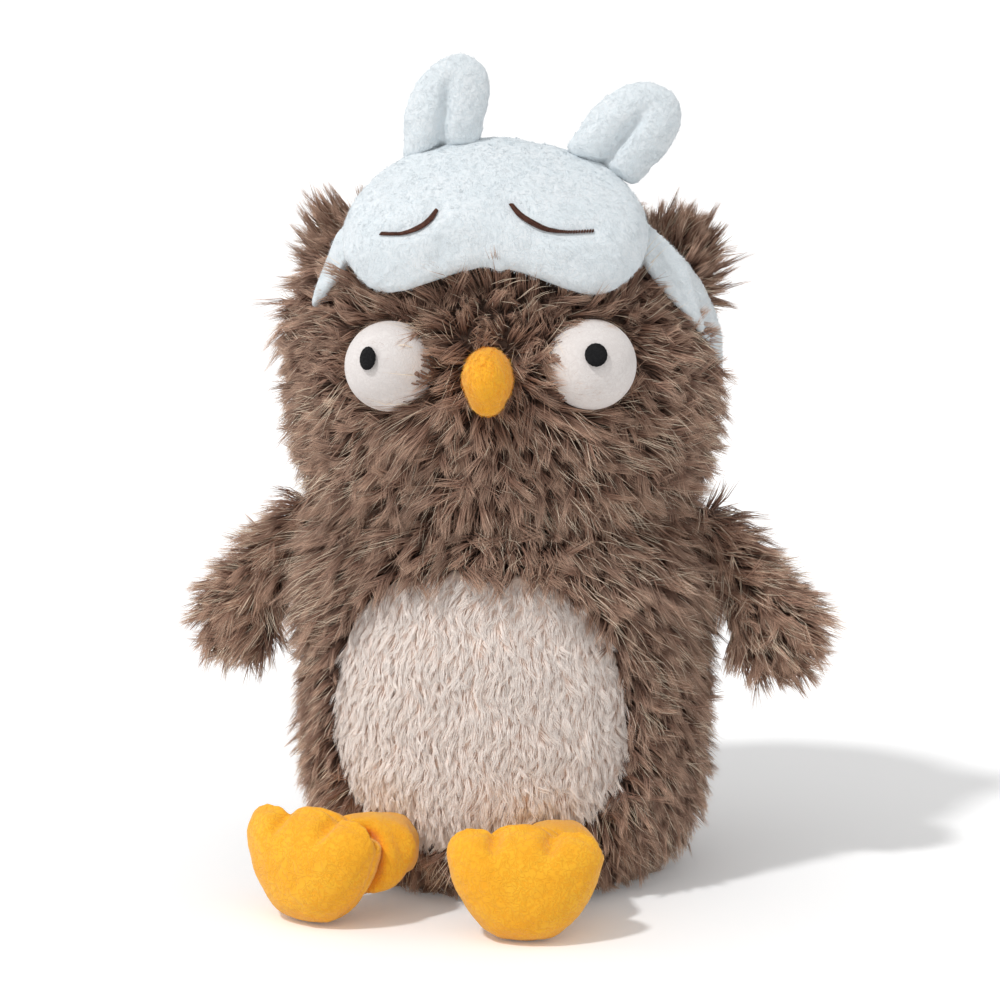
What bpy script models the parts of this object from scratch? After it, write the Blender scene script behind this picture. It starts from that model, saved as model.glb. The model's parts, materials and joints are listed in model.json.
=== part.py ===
# Plush owl that sits on its flat bottom, with a sleep mask pushed up on its forehead.
# Metres, +Z up. The owl faces -Y, and the origin is the centre of its flat bottom.
# Left and right are as seen from the front: left is -X. The plush surfaces are where the pile ends.

import math

import bmesh
import bpy
from mathutils import Matrix, Vector

# Clearances
FIT_GAP = 0.0003            # between pieces that are sewn or stuffed against each other
PIVOT_GAP = 0.0006          # between pieces that move on each other
WELD = 0.00001              # points nearer than this are one point
OVERRUN = 0.02              # how far a cutter reaches past what it cuts

# Torso
TORSO_WIDTH = 0.160
TORSO_DEPTH = 0.144
TORSO_HEIGHT = 0.138
TORSO_WIDEST_HEIGHT = 0.046
TORSO_LOWER_CLOSE = 0.008   # how far below the floor the curve of its sides would close
TORSO_UPPER_CLOSE = 0.018   # how far above its top the curve of its sides would close
TORSO_LOWER_POWER = 2.6
TORSO_UPPER_POWER = 4.0
PLUSH_THICKNESS = 0.009     # the long-pile plush: backing and pile
BASE_PANEL_MARGIN = 0.0036  # from the edge of the flat bottom in to the seam of the base panel
BASE_PANEL_THICKNESS = 0.003
POUCH_MARGIN = 0.008        # from the base panel's edge in to the pouch
POUCH_HEIGHT = 0.022

# Belly panel
BELLY_WIDTH = 0.103
BELLY_WIDEST_HEIGHT = 0.062
BELLY_LOWER_SPAN = 0.040
BELLY_UPPER_SPAN = 0.062
BELLY_LOWER_POWER = 2.2
BELLY_UPPER_POWER = 2.8

# Head
HEAD_WIDTH = 0.171
HEAD_DEPTH = 0.146
HEAD_DROP = 0.0507          # from the middle of the head down to the neck seam
HEAD_LOWER_CLOSE = 0.0053   # how far below the neck seam the curve of its sides would close
HEAD_LOWER_POWER = 3.2
HEAD_TURN = math.radians(3.5)

# Eyes and beak
EYE_RADIUS = 0.0165
EYE_OUT_SHARE = 0.9064      # of the way from the head's upright axis to its surface
EYE_RISE = 0.0105           # above the middle of the head
EYE_SPREAD = math.radians(29)
PUPIL_RADIUS = 0.004
PUPIL_THICKNESS = 0.0008
PUPIL_RAISE = math.radians(21)
PUPIL_AIM = {"left": math.radians(-21), "right": math.radians(5.5)}
BEAK_WIDTH = 0.019
BEAK_DEPTH = 0.026
BEAK_HEIGHT = 0.025
BEAK_SINK = 0.0005          # how far inside the head's front the middle of the beak lies
BEAK_RISE = 0.0065
BEAK_TIP_SHARE = 0.55       # how much narrower the beak's lower end is

# Ear tufts
TUFT_INSET = 0.0195         # from the widest part of the head in to the middle of a tuft
TUFT_RISE = 0.050
TUFT_WIDTH = 0.042
TUFT_DEPTH = 0.027
TUFT_HEIGHT = 0.042

# Wings
WING_LENGTH = 0.039
WING_HEIGHT = 0.063
WING_THICKNESS = 0.030
WING_WALL = 0.006
WING_TOP = 0.131
WING_ROOT_CLEAR = 0.0023    # from the ends of the wing's seam in to the torso, which swells between them
# from the top of the root round the tip to the root's lower end: across, and up from the lowest point
WING_OUTLINE_SHARES = [
    (0.00, 1.00), (0.20, 0.94), (0.40, 0.84), (0.62, 0.71), (0.85, 0.55), (0.98, 0.40),
    (0.96, 0.23), (0.77, 0.07), (0.53, 0.00), (0.27, 0.05), (0.08, 0.21), (0.00, 0.41),
]
WING_MIDDLE_SHARES = (0.50, 0.46)

# Legs and feet
LEG_RADIUS = 0.0140
LEG_FLARE_SHARE = 1.06
HIP_ACROSS = 0.031
HIP_HEIGHT = 0.0260
HIP_SINK = 0.0025           # how deep a leg's round end sits in the torso
FOOT_WIDTH = 0.056
FOOT_HEIGHT = 0.0425
FOOT_THICKNESS = 0.027
FOOT_WALL = 0.002
FOOT_TILT = math.radians(6)
FOOT_PLACE = {"left": (-0.0552, -0.0845), "right": (0.0202, -0.0951)}
FOOT_TURN = {"left": math.radians(-27), "right": math.radians(1)}
# right half of a foot from the middle toe's tip to the heel: across, and up from the heel
FOOT_OUTLINE_SHARES = [
    (0.00, 1.00), (0.22, 0.96), (0.39, 0.86), (0.54, 0.91), (0.74, 0.95), (0.93, 0.86),
    (1.00, 0.68), (0.95, 0.42), (0.72, 0.16), (0.38, 0.02), (0.00, 0.00),
]
FOOT_MIDDLE_SHARE = 0.50

# Sleep mask
MASK_TILT = math.radians(57)  # how high on the head the middle of the mask looks
MASK_WIDTH = 0.097
MASK_RISE = 0.036           # from the mask's middle to its upper edge
MASK_DROP = 0.032
MASK_THICKNESS = 0.017
MASK_WALL = 0.003
MASK_LINING = 0.0015
MASK_CLEAR = 0.0006         # between the mask and the head
# right half of the mask from the upper edge to the arch over the beak
MASK_OUTLINE_SHARES = [
    (0.00, 1.00), (0.30, 0.97), (0.62, 0.80), (0.88, 0.46), (1.00, 0.02), (0.97, -0.50),
    (0.82, -0.88), (0.62, -1.00), (0.38, -0.95), (0.16, -0.85), (0.00, -0.82),
]
EYE_STITCH_THICKNESS = 0.0016
# an eye's sewn line from its inner end: across and up, as shares of the mask's half width and drop
EYE_STITCH_SHARES = [(0.20, -0.28), (0.25, -0.42), (0.33, -0.50), (0.44, -0.51), (0.58, -0.42)]

# Mask ears
MASK_EAR_WIDTH = 0.031
MASK_EAR_ROOT = 0.016
MASK_EAR_LENGTH = 0.032
MASK_EAR_THICKNESS = 0.011
MASK_EAR_SINK = 0.004       # how far an ear's root would reach into the mask, were it not cut there
MASK_EAR_FLOP = math.radians(20)  # how far an ear can flop either way
# where an ear is sewn on the mask, across and up, and how it stands there
MASK_EAR_ACROSS = {"left": -0.0165, "right": 0.0270}
MASK_EAR_UP = {"left": 0.0260, "right": 0.0205}
MASK_EAR_ROOT_LEAN = {"left": math.radians(-12), "right": math.radians(28)}
MASK_EAR_BEND = {"left": math.radians(19), "right": math.radians(10)}
# right half of an ear from its tip to its root: across as a share of the half width, and up
MASK_EAR_OUTLINE_SHARES = [(0.00, 1.00), (0.45, 0.96), (0.82, 0.80), (1.00, 0.55), (0.90, 0.28)]

# Strap
STRAP_WIDTH = 0.016
STRAP_THICKNESS = 0.003
STRAP_CLEAR = 0.0020
STRAP_FRONT_TURN = math.radians(53)
STRAP_FRONT_RISE = 0.0480   # above the middle of the head, under the mask's side
STRAP_BACK_DROP = 0.031
STRAP_POWER = 2.4

# Counts
ROUND_STEPS = 24
PROFILE_STEPS = 10
BALL_STEPS = 16
EYE_STEPS = 20
BELLY_OUTLINE_STEPS = 24
PUPIL_STEPS = 16
MASK_OUTLINE_STEPS = 36
FOOT_OUTLINE_STEPS = 26
WING_OUTLINE_STEPS = 22
EAR_OUTLINE_STEPS = 20
MASK_RINGS = 5
DOME_RINGS = 3
CORE_RINGS = 2
STRAP_STEPS = 30
SLOPE_STEP_SHARE = 0.01     # of a piece's height: the step over which a slope is measured

NECK_HEIGHT = TORSO_HEIGHT + FIT_GAP
HEAD_MIDDLE = NECK_HEIGHT + HEAD_DROP
MASK_FRONT_FOOT = MASK_CLEAR + MASK_LINING + FIT_GAP
TORSO_LOWER_SPAN = TORSO_WIDEST_HEIGHT + TORSO_LOWER_CLOSE
TORSO_UPPER_SPAN = TORSO_HEIGHT - TORSO_WIDEST_HEIGHT + TORSO_UPPER_CLOSE
HEAD_LOWER_SPAN = HEAD_DROP + HEAD_LOWER_CLOSE
SIDES = {"left": -1, "right": 1}

COLOURS = {
    "brown_plush": ((0.215, 0.150, 0.110, 1), 0.95),
    "cream_plush": ((0.780, 0.690, 0.610, 1), 0.95),
    "orange_velour": ((1.000, 0.420, 0.030, 1), 0.80),
    "white_velour": ((0.850, 0.820, 0.800, 1), 0.85),
    "black_thread": ((0.010, 0.010, 0.012, 1), 0.55),
    "brown_thread": ((0.100, 0.050, 0.035, 1), 0.60),
    "blue_velour": ((0.680, 0.780, 0.810, 1), 0.90),
    "blue_satin": ((0.640, 0.740, 0.780, 1), 0.50),
    "fibre_fill": ((0.900, 0.900, 0.880, 1), 0.95),
    "pellet_cloth": ((0.700, 0.690, 0.660, 1), 0.80),
}


# Starting the file
def clear_scene():
    for item in list(bpy.data.objects):
        bpy.data.objects.remove(item)


def make_collection(name):
    group = bpy.data.collections.new(name)
    bpy.context.scene.collection.children.link(group)
    return group


def make_material(name):
    colour, roughness = COLOURS[name]
    finish = bpy.data.materials.new(name)
    finish.use_nodes = True
    shader = finish.node_tree.nodes["Principled BSDF"]
    shader.inputs["Base Color"].default_value = colour
    shader.inputs["Roughness"].default_value = roughness
    finish.diffuse_color = colour
    return finish


# Making and cutting bodies
def body_from(name, form):
    """An object that holds a bmesh whose faces point out."""
    bmesh.ops.recalc_face_normals(form, faces=form.faces)
    mesh = bpy.data.meshes.new(name)
    form.to_mesh(mesh)
    form.free()
    item = bpy.data.objects.new(name, mesh)
    OWL.objects.link(item)
    return item


def loft(name, rings):
    """A closed body through rings of points, where a ring of one point is a pole."""
    form = bmesh.new()
    loops = [[form.verts.new(point) for point in ring] for ring in rings]
    for lower, upper in zip(loops, loops[1:]):
        for step in range(max(len(lower), len(upper))):
            corners = [lower[step % len(lower)], lower[(step + 1) % len(lower)]]
            corners += [upper[(step + 1) % len(upper)], upper[step % len(upper)]]
            form.faces.new(list(dict.fromkeys(corners)))
    for end in (loops[0], loops[-1]):
        if len(end) > 1:
            form.faces.new(end)
    return body_from(name, form)


def turned(name, profile, steps, depth_share=1):
    """A profile of (radius, height) points turned about the upright axis, its flat ends closed."""
    form = bmesh.new()
    points = [form.verts.new((radius, 0, height)) for radius, height in profile]
    edges = [form.edges.new(pair) for pair in zip(points, points[1:])]
    bmesh.ops.spin(form, geom=points + edges, axis=(0, 0, 1), cent=(0, 0, 0),
                   steps=steps, angle=math.tau, use_merge=True)
    bmesh.ops.remove_doubles(form, verts=form.verts, dist=WELD)
    bmesh.ops.holes_fill(form, edges=form.edges)
    bmesh.ops.scale(form, vec=(1, depth_share, 1), verts=form.verts)
    return body_from(name, form)


def ball(name, centre, radii, steps=BALL_STEPS):
    form = bmesh.new()
    bmesh.ops.create_uvsphere(form, u_segments=steps, v_segments=steps * 3 // 5, radius=1)
    bmesh.ops.scale(form, vec=radii, verts=form.verts)
    bmesh.ops.translate(form, vec=centre, verts=form.verts)
    return body_from(name, form)


def box(name, low, high):
    form = bmesh.new()
    bmesh.ops.create_cube(form, size=1)
    size = [top - bottom for bottom, top in zip(low, high)]
    bmesh.ops.scale(form, vec=size, verts=form.verts)
    middle = [(top + bottom) / 2 for bottom, top in zip(low, high)]
    bmesh.ops.translate(form, vec=middle, verts=form.verts)
    return body_from(name, form)


def copy_of(item, name):
    twin = item.copy()
    twin.data = item.data.copy()
    twin.name = name
    OWL.objects.link(twin)
    return twin


def remove(item):
    bpy.data.objects.remove(item)


def reshape(item, tool, operation, keep_tool=False):
    """Cuts, joins or keeps what a tool marks, and leaves a plain mesh."""
    change = item.modifiers.new(operation.lower(), "BOOLEAN")
    change.operation = operation
    change.object = tool
    bpy.context.view_layer.update()
    view = bpy.context.evaluated_depsgraph_get()
    mesh = bpy.data.meshes.new_from_object(item.evaluated_get(view))
    item.modifiers.clear()
    item.data = mesh
    if not keep_tool:
        remove(tool)


def finish(item, name, material):
    item.name = name
    item.data.name = name
    item.data.materials.clear()
    item.data.materials.append(MATERIALS[material])
    item.data.shade_smooth()
    return item


def pivot_at(name, place, turn=(0, 0, 0), parent=None):
    """An empty on a joint's axis, which carries the pieces that move with it."""
    axis = bpy.data.objects.new(name, None)
    OWL.objects.link(axis)
    axis.location = place
    axis.rotation_euler = turn
    axis.parent = parent
    return axis


def hang(item, pivot, place=(0, 0, 0)):
    """Carries a piece, modelled where place is zero, on a pivot that stands at that place."""
    item.data.transform(Matrix.Translation(-Vector(place)))
    item.parent = pivot
    return item


# Shapes that the pieces share
def rounding(share, power):
    """How wide a swelling form still is at a share of the way from its widest section to its end."""
    return max(1 - share ** power, 0) ** (1 / power)


def smooth_loop(points, count):
    """Points at even steps on a smooth closed curve through the given ones."""
    total = len(points)
    result = []
    for step in range(count):
        at = step * total / count
        first, part = int(at), at - int(at)
        near = [Vector(points[(first + offset) % total]) for offset in (-1, 0, 1, 2)]
        before, start, end, after = near
        leave, arrive = (end - before) / 2, (after - start) / 2
        result.append(start * (2 * part ** 3 - 3 * part ** 2 + 1)
                      + leave * (part ** 3 - 2 * part ** 2 + part)
                      + end * (3 * part ** 2 - 2 * part ** 3)
                      + arrive * (part ** 3 - part ** 2))
    return result


def mirrored(half):
    """A closed outline from its right half, whose first and last points lie on the middle line."""
    return half + [(-across, up) for across, up in half[-2:0:-1]]


def dome(outline, middle, height, bulge, place, rings):
    """Rings from an outline, drawn in to its middle while they rise by a bulge function."""
    result = []
    for ring in range(rings):
        share = math.cos(ring / rings * math.pi / 2)
        rise = height * bulge(share)
        result.append([place(*(middle + (point - middle) * share), rise) for point in outline])
    result.append([place(*middle, height)])
    return result


def drawn_in(outline, middle, wall):
    """An outline moved in by a wall, measured towards its middle."""
    result = []
    for point in outline:
        ray = point - middle
        result.append(middle + ray * (1 - wall / ray.length))
    return result


def pillow_shell(name, outline, middle, half, wall, bulge, side):
    """One sewn panel of a stuffed pillow, on the side of the seam plane that side names."""
    def place(across, up, rise):
        return Vector((across, side * (rise + FIT_GAP / 2), up))
    outer = dome(outline, middle, half - FIT_GAP / 2, bulge, place, DOME_RINGS)
    core = drawn_in(outline, middle, wall)
    inner = dome(core, middle, half - wall, bulge, place, CORE_RINGS)
    return loft(name, outer[::-1] + inner)


def pillow_core(name, outline, middle, half, bulge, rings):
    """A closed pillow, domed on both sides of its seam plane."""
    def place(across, up, rise):
        return Vector((across, rise, up))
    front = dome(outline, middle, -half, bulge, place, rings)
    back = dome(outline, middle, half, bulge, place, rings)
    return loft(name, front[::-1] + back[1:])


def round_bulge(share):
    return math.sqrt(max(1 - share ** 2, 0))


def lens_bulge(share):
    return 1 - share ** 2


def full_bulge(share):
    return math.sqrt(max(1 - share ** 3, 0))


# Torso
def torso_share(height):
    if height < TORSO_WIDEST_HEIGHT:
        down = (TORSO_WIDEST_HEIGHT - height) / TORSO_LOWER_SPAN
        return rounding(down, TORSO_LOWER_POWER)
    return rounding((height - TORSO_WIDEST_HEIGHT) / TORSO_UPPER_SPAN, TORSO_UPPER_POWER)


def base_radius():
    """The base panel's radius, which follows the narrower way across the torso's flat bottom."""
    return min(TORSO_WIDTH, TORSO_DEPTH) / 2 * torso_share(0) - BASE_PANEL_MARGIN


def torso_form(name, inset, low, high):
    """The torso's swelling body, its surface moved in by inset, between two heights."""
    profile = []
    for step in range(PROFILE_STEPS + 1):
        height = low + (high - low) * (1 - math.cos(math.pi * step / PROFILE_STEPS)) / 2
        profile.append((TORSO_WIDTH / 2 * torso_share(height) - inset, height))
    return turned(name, profile, ROUND_STEPS, TORSO_DEPTH / TORSO_WIDTH)


def belly_outline(gap):
    """The egg-shaped edge of the belly panel, seen from the front, moved in by a gap."""
    points = []
    for step in range(BELLY_OUTLINE_STEPS):
        angle = math.tau * step / BELLY_OUTLINE_STEPS
        up = math.sin(angle)
        span = BELLY_UPPER_SPAN if up > 0 else BELLY_LOWER_SPAN
        power = BELLY_UPPER_POWER if up > 0 else BELLY_LOWER_POWER
        across = abs(math.cos(angle)) ** (2 / power) * math.copysign(1, math.cos(angle))
        rise = abs(up) ** (2 / power) * math.copysign(1, up)
        points.append((across * (BELLY_WIDTH / 2 - gap), BELLY_WIDEST_HEIGHT + rise * (span - gap)))
    return points


def belly_prism(gap):
    edge = belly_outline(gap)
    front = -TORSO_DEPTH / 2 - OVERRUN
    back = -base_radius() / 2
    rings = [[(across, depth, up) for across, up in edge] for depth in (front, back)]
    return loft("belly_cutter", rings)


def make_torso():
    outer = torso_form("torso_outer", 0, 0, TORSO_HEIGHT)
    low, high = BASE_PANEL_THICKNESS + FIT_GAP, TORSO_HEIGHT
    hollow = torso_form("torso_hollow", PLUSH_THICKNESS, low, high)
    radius = base_radius()
    base_hole = turned("base_hole", [(radius + FIT_GAP, -OVERRUN), (radius + FIT_GAP, low + OVERRUN)],
                       ROUND_STEPS)
    neck_radius = TORSO_WIDTH / 2 * torso_share(TORSO_HEIGHT) - PLUSH_THICKNESS
    neck_hole = turned("neck_hole", [(neck_radius, TORSO_HEIGHT - PLUSH_THICKNESS),
                                     (neck_radius, TORSO_HEIGHT + OVERRUN)],
                       ROUND_STEPS, TORSO_DEPTH / TORSO_WIDTH)
    reshape(outer, hollow, "DIFFERENCE")
    reshape(outer, base_hole, "DIFFERENCE")
    reshape(outer, neck_hole, "DIFFERENCE")
    for hip in hips().values():
        socket = LEG_RADIUS + PIVOT_GAP
        reshape(outer, ball("hip_cutter", hip, (socket, socket, socket)), "DIFFERENCE")

    front = copy_of(outer, "front")
    reach = TORSO_WIDTH
    reshape(front, box("front_half", (-reach, -reach, -reach),
                       (reach, -FIT_GAP / 2, TORSO_HEIGHT + reach)), "INTERSECT")
    belly = copy_of(front, "belly")
    reshape(belly, belly_prism(FIT_GAP), "INTERSECT")
    reshape(front, belly_prism(0), "DIFFERENCE")
    reshape(outer, box("back_half", (-reach, FIT_GAP / 2, -reach),
                       (reach, reach, TORSO_HEIGHT + reach)), "INTERSECT")
    finish(front, "torso_front_skin", "brown_plush")
    finish(outer, "torso_back_skin", "brown_plush")
    finish(belly, "belly_panel", "cream_plush")

    base = turned("base", [(radius, 0), (radius, BASE_PANEL_THICKNESS)], ROUND_STEPS)
    finish(base, "base_panel", "brown_plush")

    floor = BASE_PANEL_THICKNESS + FIT_GAP
    stuffing = torso_form("stuffing", PLUSH_THICKNESS + FIT_GAP, floor, TORSO_HEIGHT)
    wide = radius - POUCH_MARGIN
    recess = ball("pouch_recess", (0, 0, floor),
                  (wide + FIT_GAP, wide + FIT_GAP, POUCH_HEIGHT + FIT_GAP))
    reshape(stuffing, recess, "DIFFERENCE")
    for hip in hips().values():
        socket = LEG_RADIUS + PIVOT_GAP
        reshape(stuffing, ball("hip_cutter", hip, (socket, socket, socket)), "DIFFERENCE")
    finish(stuffing, "torso_stuffing", "fibre_fill")

    pouch = ball("pouch", (0, 0, floor), (wide, wide, POUCH_HEIGHT))
    reshape(pouch, box("pouch_half", (-reach, -reach, floor), (reach, reach, reach)), "INTERSECT")
    finish(pouch, "pellet_pouch", "pellet_cloth")


# Head
def head_share(rise):
    """How wide the head is at a height above its middle, as a share of its widest section."""
    if rise < 0:
        return rounding(-rise / HEAD_LOWER_SPAN, HEAD_LOWER_POWER)
    return rounding(rise / (HEAD_DEPTH / 2), 2)


def head_point(turn, rise, out):
    """A point at a compass turn from the face and a height above the middle, out from the surface."""
    share = head_share(rise)
    half_width, half_depth = HEAD_WIDTH / 2, HEAD_DEPTH / 2
    point = Vector((half_width * share * math.sin(turn), -half_depth * share * math.cos(turn), rise))
    step = HEAD_DROP * SLOPE_STEP_SHARE
    slope = (head_share(rise + step) - head_share(rise - step)) / (2 * step)
    normal = Vector((math.sin(turn) / half_width, -math.cos(turn) / half_depth, -slope))
    return point + normal.normalized() * out + Vector((0, 0, HEAD_MIDDLE))


def head_form(name, inset, low):
    """The head's swelling body, its surface moved in by inset, from a height to the crown."""
    half_depth = HEAD_DEPTH / 2
    top = half_depth - inset
    bottom = low - HEAD_MIDDLE
    profile = []
    half = PROFILE_STEPS // 2
    for step in range(half):
        rise = bottom * math.cos(math.pi / 2 * step / half)
        profile.append((HEAD_WIDTH / 2 * head_share(rise) - inset, HEAD_MIDDLE + rise))
    for step in range(PROFILE_STEPS - half + 1):
        turn = math.pi / 2 * step / (PROFILE_STEPS - half + 1)
        profile.append(((HEAD_WIDTH / 2 - inset) * math.cos(turn), HEAD_MIDDLE + top * math.sin(turn)))
    profile.append((0, HEAD_MIDDLE + top))
    return turned(name, profile, ROUND_STEPS, (half_depth - inset) / (HEAD_WIDTH / 2 - inset))


def eye_place(side):
    turn = SIDES[side] * EYE_SPREAD
    across = HEAD_WIDTH / 2 * EYE_OUT_SHARE * math.sin(turn)
    ahead = HEAD_DEPTH / 2 * EYE_OUT_SHARE * math.cos(turn)
    return Vector((across, -ahead, HEAD_MIDDLE + EYE_RISE))


def beak_form(name, gap):
    """A rounded cone of a beak: a ball that narrows towards its lower end."""
    half = [BEAK_WIDTH / 2 + gap, BEAK_DEPTH / 2 + gap, BEAK_HEIGHT / 2 + gap]
    beak = ball(name, (0, 0, 0), half)
    for vertex in beak.data.vertices:
        down = min(vertex.co.z / half[2], 0)
        vertex.co.x *= 1 - BEAK_TIP_SHARE * down * down
        vertex.co.y *= 1 - BEAK_TIP_SHARE * down * down / 2
    ahead = HEAD_DEPTH / 2 - BEAK_SINK
    beak.data.transform(Matrix.Translation((0, -ahead, HEAD_MIDDLE + BEAK_RISE)))
    return beak


def tuft_form(name, side, gap):
    out = HEAD_WIDTH / 2 - TUFT_INSET
    place = (SIDES[side] * out, 0, HEAD_MIDDLE + TUFT_RISE)
    radii = [size / 2 + gap for size in (TUFT_WIDTH, TUFT_DEPTH, TUFT_HEIGHT)]
    return ball(name, place, radii)


def make_head(pivot):
    skin = head_form("head_outer", 0, NECK_HEIGHT)
    stuffing = head_form("head_core", PLUSH_THICKNESS + FIT_GAP, NECK_HEIGHT)
    hollow = head_form("head_hollow", PLUSH_THICKNESS, NECK_HEIGHT)
    reshape(skin, hollow, "DIFFERENCE")
    neck_radius = HEAD_WIDTH / 2 * head_share(-HEAD_DROP) - PLUSH_THICKNESS
    neck_hole = turned("neck_hole", [(neck_radius, NECK_HEIGHT - OVERRUN),
                                     (neck_radius, NECK_HEIGHT + PLUSH_THICKNESS)],
                       ROUND_STEPS, HEAD_DEPTH / HEAD_WIDTH)
    reshape(skin, neck_hole, "DIFFERENCE")

    for side in SIDES:
        reach = EYE_RADIUS + FIT_GAP
        for item in (skin, stuffing):
            socket = ball("socket", eye_place(side), (reach, reach, reach), EYE_STEPS)
            reshape(item, socket, "DIFFERENCE")
        eye = ball("eye", eye_place(side), (EYE_RADIUS, EYE_RADIUS, EYE_RADIUS), EYE_STEPS)
        finish(eye, f"eye_{side}", "white_velour")
        hang(eye, pivot, (0, 0, NECK_HEIGHT))
        make_pupil(side, pivot)

        tuft = tuft_form("tuft", side, 0)
        core = head_form("tuft_cutter", -FIT_GAP, NECK_HEIGHT)
        reshape(tuft, core, "DIFFERENCE")
        finish(tuft, f"ear_tuft_{side}", "brown_plush")
        hang(tuft, pivot, (0, 0, NECK_HEIGHT))

    for item in (skin, stuffing):
        reshape(item, beak_form("beak_cutter", FIT_GAP), "DIFFERENCE")
    beak = finish(beak_form("beak", 0), "beak", "orange_velour")
    hang(beak, pivot, (0, 0, NECK_HEIGHT))

    reach = HEAD_WIDTH
    back = copy_of(skin, "back")
    reshape(skin, box("front_half", (-reach, -reach, 0), (reach, -FIT_GAP / 2, reach * 2)), "INTERSECT")
    reshape(back, box("back_half", (-reach, FIT_GAP / 2, 0), (reach, reach, reach * 2)), "INTERSECT")
    finish(skin, "head_front_skin", "brown_plush")
    finish(back, "head_back_skin", "brown_plush")
    finish(stuffing, "head_stuffing", "fibre_fill")
    for item in (skin, back, stuffing):
        hang(item, pivot, (0, 0, NECK_HEIGHT))


def make_pupil(side, pivot):
    """A thin round patch on the eye, bent to the eye's ball."""
    low, high = EYE_RADIUS + FIT_GAP, EYE_RADIUS + FIT_GAP + PUPIL_THICKNESS
    edge = PUPIL_RADIUS / EYE_RADIUS
    angles = [0, edge / 2, edge]
    profile = [(low * math.sin(angle), low * math.cos(angle)) for angle in angles]
    profile += [(high * math.sin(angle), high * math.cos(angle)) for angle in angles[::-1]]
    pupil = turned("pupil", profile, PUPIL_STEPS)
    lift = Matrix.Rotation(math.pi / 2 - PUPIL_RAISE, 4, "X")
    aim = Matrix.Rotation(PUPIL_AIM[side], 4, "Z")
    pupil.data.transform(Matrix.Translation(eye_place(side)) @ aim @ lift)
    finish(pupil, f"pupil_{side}", "black_thread")
    hang(pupil, pivot, (0, 0, NECK_HEIGHT))


# Wings
def wing_outline(side):
    """A wing's edge, measured from the lower end of its root, with the root on a straight seam."""
    root_share = WING_OUTLINE_SHARES[-1][1]
    points = [(across * WING_LENGTH, (up - root_share) * WING_HEIGHT)
              for across, up in WING_OUTLINE_SHARES]
    loop = smooth_loop(points, WING_OUTLINE_STEPS)
    return [Vector((SIDES[side] * max(point.x, 0), point.y)) for point in loop]


def side_of_torso(height):
    return TORSO_WIDTH / 2 * torso_share(height)


def make_wing(side):
    root_share = WING_OUTLINE_SHARES[-1][1]
    root_low = WING_TOP - WING_HEIGHT * (1 - root_share)
    low, high = side_of_torso(root_low), side_of_torso(WING_TOP)
    lean = math.atan2(low - high, WING_TOP - root_low)
    place = (SIDES[side] * (low + WING_ROOT_CLEAR), 0, root_low)
    pivot = pivot_at(f"wing_axis_{side}", place, (0, -SIDES[side] * lean, 0))
    outline = wing_outline(side)
    middle_across, middle_up = WING_MIDDLE_SHARES
    middle = Vector((SIDES[side] * WING_LENGTH * middle_across,
                     WING_HEIGHT * (middle_up - root_share)))
    half = WING_THICKNESS / 2
    for name, facing in (("front", -1), ("back", 1)):
        panel = pillow_shell("panel", outline, middle, half, WING_WALL, lens_bulge, facing)
        hang(finish(panel, f"wing_{name}_{side}", "brown_plush"), pivot)
    wall = WING_WALL + FIT_GAP
    core = drawn_in(outline, middle, wall + FIT_GAP)
    fill = pillow_core("fill", core, middle, half - wall - FIT_GAP, lens_bulge, CORE_RINGS)
    hang(finish(fill, f"wing_stuffing_{side}", "fibre_fill"), pivot)


# Legs and feet
def hips():
    """The middles of the legs' round ends, which sit a little way into the torso's lower front."""
    result = {}
    half_width = side_of_torso(HIP_HEIGHT)
    half_depth = half_width * TORSO_DEPTH / TORSO_WIDTH
    step = HIP_HEIGHT * SLOPE_STEP_SHARE
    slope = (side_of_torso(HIP_HEIGHT + step) - side_of_torso(HIP_HEIGHT - step)) / (2 * step)
    for side, sign in SIDES.items():
        across = HIP_ACROSS / half_width
        depth = math.sqrt(1 - across ** 2)
        point = Vector((sign * HIP_ACROSS, -half_depth * depth, HIP_HEIGHT))
        normal = Vector((sign * across / half_width, -depth / half_depth, -slope / half_width))
        result[side] = point + normal.normalized() * (LEG_RADIUS - HIP_SINK)
    return result


def foot_outline():
    points = []
    for across, up in mirrored(FOOT_OUTLINE_SHARES):
        points.append((across * FOOT_WIDTH / 2, up * FOOT_HEIGHT))
    return smooth_loop(points, FOOT_OUTLINE_STEPS)


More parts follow.
